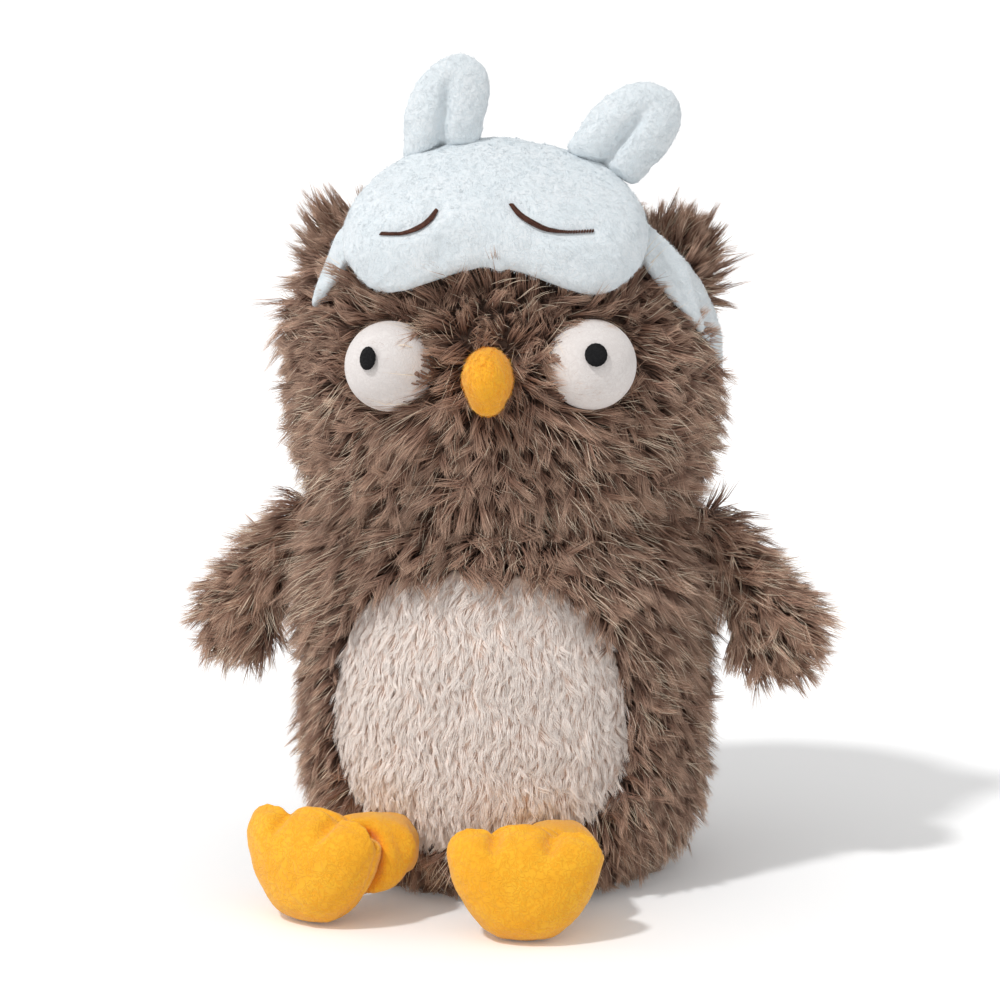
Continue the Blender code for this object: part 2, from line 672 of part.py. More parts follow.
def make_leg(side):
    """A leg and its foot, modelled with the leg pointing along -Y from the hip, then turned."""
    hip = hips()[side]
    across, forward = FOOT_PLACE[side]
    reach = Vector((across - hip.x, forward - hip.y))
    turn = math.atan2(reach.x, -reach.y)
    pivot = pivot_at(f"leg_axis_{side}", hip, (0, 0, turn))

    outline = foot_outline()
    lowest = min(point.y for point in outline)
    middle = Vector((0, FOOT_HEIGHT * FOOT_MIDDLE_SHARE))
    half = FOOT_THICKNESS / 2
    stand = Matrix.Translation((0, -reach.length, -hip.z - lowest))
    swing = Matrix.Rotation(FOOT_TURN[side] - turn, 4, "Z")
    lean = Matrix.Rotation(-FOOT_TILT, 4, "X")

    parts = []
    for name, facing in (("sole", -1), ("upper", 1)):
        panel = pillow_shell("panel", outline, middle, half, FOOT_WALL, round_bulge, facing)
        parts.append(finish(panel, f"foot_{name}_{side}", "orange_velour"))
    wall = FOOT_WALL + FIT_GAP
    core = drawn_in(outline, middle, wall + FIT_GAP)
    fill = pillow_core("fill", core, middle, half - wall - FIT_GAP, round_bulge, CORE_RINGS)
    parts.append(finish(fill, f"foot_stuffing_{side}", "fibre_fill"))
    for part in parts:
        part.data.transform(swing @ lean)
    drop = min(vertex.co.z for part in parts for vertex in part.data.vertices)
    for part in parts:
        part.data.transform(stand @ Matrix.Translation((0, 0, lowest - drop)))
        hang(part, pivot)

    arc = [math.pi / 2 * step / CORE_RINGS for step in range(CORE_RINGS + 1)]
    profile = [(LEG_RADIUS * math.sin(turned_by), -LEG_RADIUS * math.cos(turned_by))
               for turned_by in arc]
    profile.append((LEG_RADIUS * LEG_FLARE_SHARE, reach.length))
    leg = turned("leg", profile, BALL_STEPS)
    drop_to_foot = math.atan2(FOOT_HEIGHT * FOOT_MIDDLE_SHARE - hip.z, reach.length)
    leg.data.transform(Matrix.Rotation(math.pi / 2 - drop_to_foot, 4, "X"))
    thicker = [middle + (point - middle) * (1 + FIT_GAP / (FOOT_HEIGHT / 2)) for point in outline]
    cutter = pillow_core("foot_cutter", thicker, middle, half + FIT_GAP, round_bulge, DOME_RINGS)
    cutter.data.transform(stand @ Matrix.Translation((0, 0, lowest - drop)) @ swing @ lean)
    reshape(leg, cutter, "DIFFERENCE", keep_tool=True)
    front = box("front_cutter", (-HEAD_WIDTH, -HEAD_WIDTH, -HEAD_WIDTH),
                (HEAD_WIDTH, -reach.length + FIT_GAP, HEAD_WIDTH))
    reshape(leg, front, "DIFFERENCE")
    remove(cutter)
    finish(leg, f"leg_{side}", "orange_velour")
    hang(leg, pivot)


# Sleep mask
def mask_point(across, up, out):
    """A point of the mask, laid on the forehead, at a height out from the head's surface."""
    half_depth = HEAD_DEPTH / 2
    reach = math.hypot(across, up)
    swing = reach / half_depth
    ahead = Vector((0, -math.cos(MASK_TILT), math.sin(MASK_TILT)))
    upward = Vector((0, math.sin(MASK_TILT), math.cos(MASK_TILT)))
    aside = Vector((1, 0, 0)) * across + upward * up
    ray = ahead * math.cos(swing)
    if reach > 0:
        ray += aside / reach * math.sin(swing)
    axes = Vector((HEAD_WIDTH / 2, half_depth, half_depth))
    point = Vector([size * part for size, part in zip(axes, ray)])
    normal = Vector([part / size for size, part in zip(axes, ray)]).normalized()
    return point + normal * out + Vector((0, 0, HEAD_MIDDLE))


def mask_outline():
    points = []
    for across, up in mirrored(MASK_OUTLINE_SHARES):
        points.append((across * MASK_WIDTH / 2, up * (MASK_RISE if up > 0 else MASK_DROP)))
    return smooth_loop(points, MASK_OUTLINE_STEPS)


def mask_dome(outline, low, high, rings):
    """Rings of a dome on the forehead, from its edge at the height low to its top at high."""
    def place(across, up, rise):
        return mask_point(across, up, low + rise)
    return dome(outline, Vector((0, 0)), high - low, full_bulge, place, rings)


def mask_shell(name, outline, low, high, wall):
    """A domed panel of the mask that is open towards the head and has a wall."""
    core = drawn_in(outline, Vector((0, 0)), wall)
    return loft(name, mask_dome(outline, low, high, MASK_RINGS)[::-1]
                + mask_dome(core, low, high - wall, MASK_RINGS - 1))


def mask_block(name, outline, low, high, floor, rings):
    """A solid dome on the forehead, with its underside at the height floor."""
    over = mask_dome(outline, low, high, rings)
    under = mask_dome(outline, floor, floor, rings)
    first = 1 if floor == low else 0
    return loft(name, over[::-1] + under[first:])


def mask_cutter(gap):
    """The mask with a gap round it, down to the head."""
    outline = [point * (1 + gap / point.length) for point in mask_outline()]
    return mask_block("mask_cutter", outline, MASK_FRONT_FOOT + gap, MASK_THICKNESS + gap, 0,
                      MASK_RINGS)


def mask_height(across, up):
    """How far the mask's padded front stands out from the head over a point of the mask."""
    outline = mask_outline()
    angle = math.atan2(up, across)
    edge = min(outline, key=lambda point: abs(math.remainder(math.atan2(point.y, point.x) - angle,
                                                             math.tau)))
    share = min(math.hypot(across, up) / edge.length, 1)
    return MASK_FRONT_FOOT + (MASK_THICKNESS - MASK_FRONT_FOOT) * full_bulge(share)


def make_mask(pivot):
    outline = mask_outline()
    front = mask_shell("front", outline, MASK_FRONT_FOOT, MASK_THICKNESS, MASK_WALL)
    wall = MASK_WALL + FIT_GAP * 2
    low = MASK_FRONT_FOOT
    core = drawn_in(outline, Vector((0, 0)), wall)
    padding = mask_block("padding", core, low, MASK_THICKNESS - wall, low, MASK_RINGS - 1)
    rings = []
    for out, share_list in ((MASK_CLEAR, (0.0, 0.35, 0.7, 1.0)),
                            (MASK_CLEAR + MASK_LINING, (1.0, 0.7, 0.35, 0.0))):
        for share in share_list:
            ring = [mask_point(*(point * share), out) for point in outline]
            rings.append(ring if share > 0 else ring[:1])
    lining = loft("lining", rings)
    finish(front, "mask_front", "blue_velour")
    finish(padding, "mask_padding", "fibre_fill")
    finish(lining, "mask_lining", "blue_satin")
    strap = make_strap()
    for item in (front, padding, lining, strap):
        hang(item, pivot, (0, 0, HEAD_MIDDLE))
    for side, sign in SIDES.items():
        make_eye_stitch(side, sign, pivot)
        make_mask_ear(side, pivot)


def make_eye_stitch(side, sign, pivot):
    """The sewn line of a closed eye, a curved cord that lies on the mask's front."""
    curve = bpy.data.curves.new("stitch", "CURVE")
    curve.dimensions = "3D"
    curve.bevel_depth = EYE_STITCH_THICKNESS / 2
    curve.bevel_resolution = 2
    curve.use_fill_caps = True
    spline = curve.splines.new("POLY")
    points = []
    for across, up in EYE_STITCH_SHARES:
        place = (sign * across * MASK_WIDTH / 2, up * MASK_DROP)
        out = mask_height(*place) + EYE_STITCH_THICKNESS / 2 + PIVOT_GAP
        points.append(mask_point(*place, out))
    spline.points.add(len(points) - 1)
    for knot, point in zip(spline.points, points):
        knot.co = (*point, 1)
    line = bpy.data.objects.new("stitch", curve)
    OWL.objects.link(line)
    bpy.context.view_layer.update()
    view = bpy.context.evaluated_depsgraph_get()
    mesh = bpy.data.meshes.new_from_object(line.evaluated_get(view))
    remove(line)
    form = bmesh.new()
    form.from_mesh(mesh)
    bmesh.ops.remove_doubles(form, verts=form.verts, dist=WELD)
    stitch = body_from("stitch", form)
    finish(stitch, f"closed_eye_{side}", "brown_thread")
    hang(stitch, pivot, (0, 0, HEAD_MIDDLE))


def make_mask_ear(side, pivot):
    """A flat stuffed ear that flops on the seam at its root, cut clear of the mask as it flops."""
    across, up = MASK_EAR_ACROSS[side], MASK_EAR_UP[side]
    root = mask_point(across, up, mask_height(across, up) + PIVOT_GAP)
    lean = Matrix.Rotation(MASK_EAR_ROOT_LEAN[side], 4, "Y")
    bend = math.tan(MASK_EAR_BEND[side])
    half = MASK_EAR_OUTLINE_SHARES + [(MASK_EAR_ROOT / MASK_EAR_WIDTH, 0)]
    outline = []
    for wide, high in half + [(-wide, high) for wide, high in half[:0:-1]]:
        along = high * (MASK_EAR_LENGTH + MASK_EAR_SINK) - MASK_EAR_SINK
        outline.append((wide * MASK_EAR_WIDTH / 2 + along * bend, along))
    outline = [Vector((point.x, max(point.y, -MASK_EAR_SINK)))
               for point in smooth_loop(outline, EAR_OUTLINE_STEPS)]
    middle = Vector((MASK_EAR_LENGTH * bend / 2, MASK_EAR_LENGTH / 2))
    ear = pillow_core("ear", outline, middle, MASK_EAR_THICKNESS / 2, lens_bulge, DOME_RINGS)
    stand = Matrix.Translation(root) @ lean
    for share in (-1, 0, 1):
        pad = mask_cutter(PIVOT_GAP)
        flop = Matrix.Rotation(MASK_EAR_FLOP * share, 4, "X")
        pad.data.transform(flop @ stand.inverted())
        reshape(ear, pad, "DIFFERENCE")
    finish(ear, f"mask_ear_{side}", "blue_velour")
    place = root - Vector((0, 0, HEAD_MIDDLE))
    hang(ear, pivot_at(f"mask_ear_axis_{side}", place, lean.to_euler(), pivot))


def make_strap():
    """An elastic band from one side of the mask to the other, round the back of the head."""
    rings = []
    for step in range(STRAP_STEPS + 1):
        turn = STRAP_FRONT_TURN + (math.tau - 2 * STRAP_FRONT_TURN) * step / STRAP_STEPS
        part = 1 - abs(turn - math.pi) / (math.pi - STRAP_FRONT_TURN)
        span = STRAP_FRONT_RISE + STRAP_BACK_DROP
        rise = -STRAP_BACK_DROP + span * (1 - part) ** STRAP_POWER
        near, far = STRAP_CLEAR, STRAP_CLEAR + STRAP_THICKNESS
        half = STRAP_WIDTH / 2
        rings.append([head_point(turn, rise + half, near), head_point(turn, rise + half, far),
                      head_point(turn, rise - half, far), head_point(turn, rise - half, near)])
    strap = loft("strap", rings)
    reshape(strap, mask_cutter(FIT_GAP), "DIFFERENCE")
    return finish(strap, "mask_strap", "blue_velour")


clear_scene()
OWL = make_collection("plush_owl")
MATERIALS = {name: make_material(name) for name in COLOURS}
make_torso()
head_axis = pivot_at("head_axis", (0, 0, NECK_HEIGHT), (0, 0, HEAD_TURN))
make_head(head_axis)
mask_axis = pivot_at("mask_axis", (0, 0, HEAD_MIDDLE - NECK_HEIGHT), (0, 0, 0), head_axis)
make_mask(mask_axis)
for wing_side in SIDES:
    make_wing(wing_side)
    make_leg(wing_side)
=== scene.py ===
# %% [markdown]
# A plush owl with a sleep mask
#
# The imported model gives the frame: where every piece is, and what it moves with. It is plain inside
# and out, as soft toys are before their fabric. This lesson dresses it: long brown fur, a cream
# belly, velour eyes, beak and feet, and a padded pale blue mask.

import json
import math

import bmesh
import bpy
import numpy as np
from mathutils import Matrix, Vector, noise
from mathutils.bvhtree import BVHTree
from mathutils.kdtree import KDTree


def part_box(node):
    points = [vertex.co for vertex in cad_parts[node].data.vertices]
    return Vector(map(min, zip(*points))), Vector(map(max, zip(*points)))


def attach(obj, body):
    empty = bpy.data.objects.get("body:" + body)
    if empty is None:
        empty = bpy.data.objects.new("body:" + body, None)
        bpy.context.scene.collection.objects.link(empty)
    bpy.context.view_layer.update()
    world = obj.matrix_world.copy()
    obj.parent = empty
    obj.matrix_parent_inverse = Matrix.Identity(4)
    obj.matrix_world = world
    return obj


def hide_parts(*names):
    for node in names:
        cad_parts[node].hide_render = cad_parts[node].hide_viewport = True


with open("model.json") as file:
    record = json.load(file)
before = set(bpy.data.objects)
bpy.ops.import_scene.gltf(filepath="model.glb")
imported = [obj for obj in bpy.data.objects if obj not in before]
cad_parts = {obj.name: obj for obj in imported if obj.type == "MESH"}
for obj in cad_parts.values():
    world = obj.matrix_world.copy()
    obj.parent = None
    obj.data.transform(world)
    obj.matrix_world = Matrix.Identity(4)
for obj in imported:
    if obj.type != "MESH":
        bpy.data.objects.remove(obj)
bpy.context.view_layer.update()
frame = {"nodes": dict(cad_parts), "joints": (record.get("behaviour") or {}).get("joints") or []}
print("pieces in the frame:", len(frame["nodes"]))

# %% [markdown]
# Every object is put into the scene in the same way, and most start as a bmesh.

# %% Objects
def shown(item):
    """Puts an object into the scene."""
    bpy.context.scene.collection.objects.link(item)
    return item


def piece_from(name, form):
    """A finished object that holds a bmesh, at the origin."""
    mesh = bpy.data.meshes.new(name)
    form.to_mesh(mesh)
    form.free()
    mesh.shade_smooth()
    return shown(bpy.data.objects.new(name, mesh))


# %% [markdown]
# The camera stands where the photographer's stood: a long lens, a little to the right of the owl and
# looking down on it. The shift puts the owl's axis where the photo has it.

# %% Camera
IMAGE_SIZE = 1000             # pixels
CAMERA_DISTANCE = 1.400
CAMERA_TURN = math.radians(8)
CAMERA_RISE = math.radians(12)
AIM_HEIGHT = 0.138
OWL_AXIS_PIXEL = 504
FOCAL_PIXELS = 3784

back = Vector((math.sin(CAMERA_TURN) * math.cos(CAMERA_RISE),
               -math.cos(CAMERA_TURN) * math.cos(CAMERA_RISE), math.sin(CAMERA_RISE)))
camera = shown(bpy.data.objects.new("camera", bpy.data.cameras.new("camera")))
camera.location = Vector((0, 0, AIM_HEIGHT)) + back * CAMERA_DISTANCE
camera.rotation_mode = "QUATERNION"
camera.rotation_quaternion = (-back).to_track_quat("-Z", "Y")
camera.data.sensor_width = 36
camera.data.lens = camera.data.sensor_width * FOCAL_PIXELS / IMAGE_SIZE
camera.data.shift_x = (IMAGE_SIZE / 2 - OWL_AXIS_PIXEL) / IMAGE_SIZE
bpy.context.scene.camera = camera
print("lens:", round(camera.data.lens, 1), "mm")

# %% [markdown]
# Nodes are made by small functions. An input is given as a value, or as the socket that feeds it.

# %% Nodes
def feed(node, inputs):
    for name, given in inputs.items():
        if isinstance(given, bpy.types.NodeSocket):
            node.id_data.links.new(given, node.inputs[name])
        else:
            node.inputs[name].default_value = given
    return node


def add_node(tree, kind, inputs=None, **settings):
    node = tree.nodes.new("ShaderNode" + kind)
    for name, value in settings.items():
        setattr(node, name, value)
    return feed(node, inputs or {})


def maths(tree, operation, first, second=0.0):
    return add_node(tree, "Math", {0: first, 1: second}, operation=operation).outputs[0]


def mix_colours(tree, factor, first, second, blend="MIX"):
    return add_node(tree, "Mix", {"Factor": factor, "A": first, "B": second},
                    data_type="RGBA", blend_type=blend).outputs["Result"]


def map_range(tree, value, low, high, out_low=0.0, out_high=1.0):
    return add_node(tree, "MapRange", {"Value": value, "From Min": low, "From Max": high,
                                       "To Min": out_low, "To Max": out_high},
                    interpolation_type="SMOOTHSTEP").outputs["Result"]


# %% [markdown]
# The studio is a wide white floor, an even white sky for fill, and one soft lamp above and to the left
# of the camera, whose shadow falls behind the owl to the right. Light from a wide window comes in
# faintly from the left, nearly level. Together they light a white card to just under white, so colours
# show about as they are written. What the camera sees of the floor is a little whiter than what lights
# the owl from below.

# %% Floor and lights
WHITE = (1, 1, 1, 1)
FLOOR_SIZE = 24
FLOOR_GREY = (0.86, 0.86, 0.86, 1)
FLOOR_GLOW = 0.09             # only what the camera sees of it
SKY_LEVEL = 0.64
SUNS = {                      # strength, degrees across, and the way that the light comes from
    "lamp": (1.46, 5, (-0.46, -0.52, 1.0)),
    "window": (0.36, 40, (-1.0, 0.05, 0.20)),
}

bpy.context.scene.view_settings.view_transform = "Standard"
world = bpy.context.scene.world or bpy.data.worlds.new("studio")
bpy.context.scene.world = world
world.use_nodes = True
feed(world.node_tree.nodes["Background"], {"Color": WHITE, "Strength": SKY_LEVEL})

for name, (level, width, way) in SUNS.items():
    sun = shown(bpy.data.objects.new(name, bpy.data.lights.new(name, "SUN")))
    sun.data.energy = level
    sun.data.angle = math.radians(width)
    sun.rotation_mode = "QUATERNION"
    sun.rotation_quaternion = Vector(way).to_track_quat("Z", "Y")

form = bmesh.new()
bmesh.ops.create_grid(form, x_segments=1, y_segments=1, size=FLOOR_SIZE / 2)
floor = piece_from("floor", form)

paper = bpy.data.materials.new("studio_paper")
paper.use_nodes = True
tree = paper.node_tree
rays = add_node(tree, "LightPath").outputs
seen = maths(tree, "MAXIMUM", rays["Is Camera Ray"], rays["Is Glossy Ray"])
seen = maths(tree, "MAXIMUM", seen, rays["Is Transmission Ray"])
feed(tree.nodes["Principled BSDF"], {
    "Roughness": 0.9, "Specular IOR Level": 0.0,
    "Base Color": mix_colours(tree, seen, FLOOR_GREY, WHITE),
    "Emission Color": WHITE, "Emission Strength": maths(tree, "MULTIPLY", seen, FLOOR_GLOW)})
floor.data.materials.append(paper)
print("lights:", ", ".join(SUNS))

# %% [markdown]
# Sizes and places. Most come from the frame; the rest are the sizes of the real fabric.

# %% Sizes
MM = 0.001
SIDES = {"left": -1, "right": 1}
JOINTS = {joint["name"]: joint for joint in frame["joints"]}

HEAD_WIDTH = 171 * MM
HEAD_DEPTH = 146 * MM
HEAD_TURN = math.atan2(JOINTS["mask_tilt"]["axis"][1], JOINTS["mask_tilt"]["axis"][0])
HEAD_MIDDLE = JOINTS["mask_tilt"]["pos_m"][2]
NECK_HEIGHT = JOINTS["head_turn"]["pos_m"][2]
NECK_RADIUS = 45 * MM
TORSO_WIDTH = 160 * MM
TORSO_DEPTH = 144 * MM
EYE_RADIUS = 16.5 * MM

# belly panel: an egg, wider below its middle, and a little wider than in the frame with its pile
BELLY_WIDTH = 106 * MM
BELLY_MIDDLE = -2.5 * MM
BELLY_WIDEST_HEIGHT = 62 * MM
BELLY_UPPER = (62 * MM, 2.5)  # how far it reaches up, and how square it is
BELLY_LOWER = (40 * MM, 2.2)
BELLY_SWELL = 4 * MM

print("head turned by", round(math.degrees(HEAD_TURN), 1), "degrees")


# %% [markdown]
# Small helpers: a piece's points as an array, modifiers that are applied at once, and smooth curves.

# %% Helpers
def points_of(item, kind="co"):
    points = np.empty(len(item.data.vertices) * 3)
    item.data.vertices.foreach_get(kind, points)
    return points.reshape(-1, 3)


def normals_of(item):
    return points_of(item, "normal")


def set_points(item, points):
    item.data.vertices.foreach_set("co", np.asarray(points, dtype=np.float32).ravel())
    item.data.update()


def modified(item, kind, **settings):
    """Adds a modifier with its settings."""
    change = item.modifiers.new(kind.lower(), kind)
    for name, value in settings.items():
        setattr(change, name, value)
    return item


def applied(item):
    """Turns an item with modifiers into a plain mesh."""
    bpy.context.view_layer.update()
    view = bpy.context.evaluated_depsgraph_get()
    mesh = bpy.data.meshes.new_from_object(item.evaluated_get(view))
    item.modifiers.clear()
    old = item.data
    item.data = mesh
    bpy.data.meshes.remove(old)
    mesh.name = item.name
    mesh.shade_smooth()
    return item


def copy_of_nodes(name, *nodes):
    """One object with merged copies of CAD nodes, which themselves stay as they are."""
    form = bmesh.new()
    for node in nodes:
        form.from_mesh(frame["nodes"][node].data)
    bmesh.ops.remove_doubles(form, verts=form.verts, dist=0.01 * MM)
    return piece_from(name, form)


def relaxed(item, steps):
    return applied(modified(item, "SMOOTH", factor=0.5, iterations=steps))


def remeshed(item, voxel, smooth_steps):
    return relaxed(modified(item, "REMESH", mode="VOXEL", voxel_size=voxel), smooth_steps)


def finer(item):
    return applied(modified(item, "SUBSURF", levels=1, render_levels=1))


def unit(vectors):
    return vectors / np.maximum(np.linalg.norm(vectors, axis=-1, keepdims=True), 1e-9)


def ramp(values, low, high):
    """0 below one value, 1 above another, and smooth between them."""
    part = np.clip((values - low) / (high - low), 0, 1)
    return part * part * (3 - 2 * part)


def share(values, low, span):
    """0 below one value, 1 at a span above it, and even between."""
    return np.clip((values - low) / span, 0, 1)


def hump(values, width):
    """1 where a value is 0, and smoothly less on both sides."""
    return np.exp(-(values / width) ** 2)


def turned_with_head(item):
    item.data.transform(Matrix.Rotation(HEAD_TURN, 4, "Z"))
    return item


def ruffled(item, *layers):
    """Gives a surface soft lumps. Each layer has the size and the height of its lumps."""
    points = points_of(item)
    rise = sum(height * np.array([noise.noise(Vector(point / size)) for point in points])
               for size, height in layers)
    set_points(item, points + normals_of(item) * rise[:, None])
    return item


def curve_point(before, start, end, after, part):
    """A point between the middle two of four, on a smooth curve through them."""
    leave, arrive = (end - before) / 2, (after - start) / 2
    return (start * (2 * part ** 3 - 3 * part ** 2 + 1) + leave * (part ** 3 - 2 * part ** 2 + part)
            + end * (3 * part ** 2 - 2 * part ** 3) + arrive * (part ** 3 - part ** 2))


def smooth_loop(points, count):
    """Points at even steps on a smooth closed curve through the given ones."""
    total = len(points)
    result = []
    for step in range(count):
        at = step * total / count
        near = [Vector(points[(int(at) + offset) % total]) for offset in (-1, 0, 1, 2)]
        result.append(curve_point(*near, at - int(at)))
    return result


def polar(flat):
    """How far flat points are from the origin, and at which angle."""
    return np.hypot(flat[:, 0], flat[:, 1]), np.arctan2(flat[:, 1], flat[:, 0])


def reach_at(outline, angles):
    """How far a closed outline is from the origin at some angles."""
    far, turns = polar(np.array(outline))
    return np.interp(angles, turns, far, period=math.tau)


def mirrored(half):
    """A closed outline from its right half, whose first and last points lie on the middle line."""
    return half + [(-across, up) for across, up in half[-2:0:-1]]


# %% [markdown]
# ## Finishes
#
# Fur gets its colour from where a point lies on its strand: dark at the root, as painted shade for the
# depth of the pile, warm brown along it, and paler at the tip, partly the fur's own pale tips and
# partly a painted highlight. Each strand has one of a few dozen tones, and is streaked along its
# length, because it stands for several hairs. All of this is kept in a UV map: the height of a point is
# how far along the strand it is, and across, the map is divided into as many columns as there are
# tones. The group below turns the map into a colour, and into a height for the bump between hairs.

# %% Pile colour
UV_NAME = "OFBake"
TONES = 64
PALE_TONE = 58                # from this tone on, a strand is a pale one


def make_group(name, colours, numbers=()):
    """A node group with these inputs: the group, its inputs' sockets and its output node."""
    group = bpy.data.node_groups.new(name, "ShaderNodeTree")
    for sockets, kind, way in ((colours, "Color", "INPUT"), (numbers, "Float", "INPUT"),
                               (("Color",), "Color", "OUTPUT"), (("Height",), "Float", "OUTPUT")):
        for socket in sockets:
            group.interface.new_socket(name=socket, in_out=way, socket_type=f"NodeSocket{kind}")
    return group, group.nodes.new("NodeGroupInput").outputs, group.nodes.new("NodeGroupOutput")


def make_pile_colour():
    tree, given, result = make_group("pile_colour", PILE_COLOURS, ("Variation",))
    strand = add_node(tree, "UVMap", uv_map=UV_NAME)
    split = add_node(tree, "SeparateXYZ", {"Vector": strand.outputs["UV"]})
    along = split.outputs["Y"]
    column = maths(tree, "MULTIPLY", split.outputs["X"], TONES)
    tone = maths(tree, "FLOOR", column)
    place = add_node(tree, "CombineXYZ", {
        "X": maths(tree, "MULTIPLY", maths(tree, "FRACT", column), 6.0),
        "Y": maths(tree, "MULTIPLY", along, 1.3), "Z": maths(tree, "MULTIPLY", tone, 7.3)})
    hairs = add_node(tree, "TexNoise", {"Vector": place.outputs["Vector"], "Scale": 1.0,
                                        "Detail": 2.0}).outputs["Fac"]

    # painted shade: the darker root colour stands for the shade deep in the pile; the paler tip is
    # partly painted highlight
    body = mix_colours(tree, map_range(tree, along, 0.05, 0.5), given["Root"], given["Middle"])
    tipped = mix_colours(tree, map_range(tree, along, 0.5, 1.0), body, given["Tip"])
    shade = maths(tree, "MULTIPLY", map_range(tree, tone, 0.0, PALE_TONE, 0.62, 1.35),
                  map_range(tree, hairs, 0.3, 0.7, 0.74, 1.26))
    shade = maths(tree, "POWER", shade, given["Variation"])
    grey = add_node(tree, "CombineColor", {"Red": shade, "Green": shade, "Blue": shade})
    toned = mix_colours(tree, 1.0, tipped, grey.outputs["Color"], "MULTIPLY")
    paling = maths(tree, "MULTIPLY", maths(tree, "GREATER_THAN", tone, PALE_TONE - 0.5),
                   map_range(tree, along, 0.1, 0.7))
    feed(result, {"Color": mix_colours(tree, paling, toned, given["Pale"]), "Height": hairs})
    return tree


PILE_COLOURS = ("Root", "Middle", "Tip", "Pale")
PILE_COLOUR = make_pile_colour()


def finish(name, group, colours, numbers, bump, depth, looks):
    """A material whose colour and bump come from a group."""
    material = bpy.data.materials.new(name)
    material.use_nodes = True
    tree = material.node_tree
    values = {place: (*colour, 1) for place, colour in colours.items()}
    pattern = add_node(tree, "Group", {**values, **numbers}, node_tree=group)
    normal = add_node(tree, "Bump", {"Strength": bump, "Distance": depth,
                                     "Height": pattern.outputs["Height"]}).outputs["Normal"]
    feed(tree.nodes["Principled BSDF"], {**looks, "Base Color": pattern.outputs["Color"],
                                         "Normal": normal})
    return material


def pile_material(name, *colours, variation=1.0):
    looks = {"Roughness": 0.6, "Specular IOR Level": 0.35, "Sheen Weight": 0.1, "Sheen Roughness": 0.4}
    return finish(name, PILE_COLOUR, dict(zip(PILE_COLOURS, colours)), {"Variation": variation}, 0.5,
                  0.2 * MM, looks)


# each root colour is darker than its middle as painted shade deep in the pile, and each tip is paler,
# partly as painted highlight
BROWN_PILE = pile_material("brown_pile", (0.104, 0.056, 0.038), (0.306, 0.174, 0.122),
                           (0.650, 0.440, 0.322), (0.960, 0.810, 0.630))
CREAM_PILE = pile_material("cream_pile", (1.000, 0.780, 0.660), (1.000, 0.900, 0.830),
                           (1.000, 0.940, 0.890), (1.000, 0.950, 0.920), variation=0.25)
BLUE_PILE = pile_material("blue_pile", (0.815, 0.865, 0.895), (0.865, 0.905, 0.925),
                          (0.885, 0.920, 0.940), (0.885, 0.920, 0.940), variation=0.12)
ORANGE_PILE = pile_material("orange_pile", (1.000, 0.440, 0.020), (1.000, 0.540, 0.045),
                            (1.000, 0.620, 0.080), (1.000, 0.620, 0.100), variation=0.2)


# %% [markdown]
# Velour has a pile too short to model hair by hair: a nap. Its look is short winding furrows, where a
# noise crosses its middle value, bumped and darkened as painted shade; soft patches of painted shade
# where the nap lies one way or the other; and a pale sheen at a grazing angle.

# %% Velour
def make_nap():
    tree, given, result = make_group("nap", ("Colour", "Shade"), ("Grain Scale",))
    place = add_node(tree, "TexCoord").outputs["Object"]
    patches = add_node(tree, "TexNoise", {"Vector": place, "Scale": 90.0, "Detail": 3.0})
    grain = add_node(tree, "TexNoise", {"Vector": place, "Scale": given["Grain Scale"],
                                        "Detail": 2.0, "Roughness": 0.5, "Distortion": 0.8})
    # painted shade: where the nap lies the other way it is mixed towards the shade colour, and so are
    # the furrows, which are also bumped
    painted_nap_shade = map_range(tree, patches.outputs["Fac"], 0.35, 0.65, 0.0, 0.55)
    furrow = maths(tree, "ABSOLUTE", maths(tree, "SUBTRACT", grain.outputs["Fac"], 0.5))
    fine = map_range(tree, furrow, 0.0, 0.09, 0.9, 0.0)
    patched = mix_colours(tree, painted_nap_shade, given["Colour"], given["Shade"])
    feed(result, {"Color": mix_colours(tree, fine, patched, given["Shade"]),
                  "Height": map_range(tree, furrow, 0.0, 0.09)})
    return tree


NAP = make_nap()


def velour(name, colour, shade, grain=420.0, sheen=0.25, depth=0.25 * MM):
    looks = {"Roughness": 0.85, "Specular IOR Level": 0.2, "Sheen Weight": sheen,
             "Sheen Roughness": 0.5}
    return finish(name, NAP, {"Colour": colour, "Shade": shade}, {"Grain Scale": grain}, 0.6, depth,
                  looks)


BROWN_BACKING = velour("brown_backing", (0.150, 0.095, 0.070), (0.100, 0.064, 0.048), sheen=0.0)
CREAM_BACKING = velour("cream_backing", (0.880, 0.700, 0.600), (0.800, 0.620, 0.510), sheen=0.0)
ORANGE_VELOUR = velour("orange_velour", (1.000, 0.510, 0.030), (0.980, 0.420, 0.016), 520.0)
WHITE_VELOUR = velour("white_velour", (0.830, 0.780, 0.755), (0.770, 0.715, 0.690), 600.0,
                      depth=0.12 * MM)
BLUE_VELOUR = velour("blue_velour", (0.835, 0.875, 0.900), (0.755, 0.822, 0.858), 480.0,
                     depth=0.15 * MM)
BLUE_LINING = velour("blue_lining", (0.640, 0.740, 0.780), (0.600, 0.700, 0.740), depth=0.1 * MM)
BLACK_THREAD = velour("black_thread", (0.006, 0.006, 0.007), (0.012, 0.012, 0.013), sheen=0.0)
BROWN_THREAD = velour("brown_thread", (0.110, 0.045, 0.030), (0.060, 0.026, 0.018), sheen=0.0)
print("finishes:", len(bpy.data.materials))


def dress(item, body, material, replaced=()):
    """Gives a piece its material and the body that it rides on, and hides the CAD nodes that it takes
    the place of."""
    item.data.materials.clear()
    item.data.materials.append(material)
    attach(item, body)
    if replaced:
        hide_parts(*replaced)
    return item


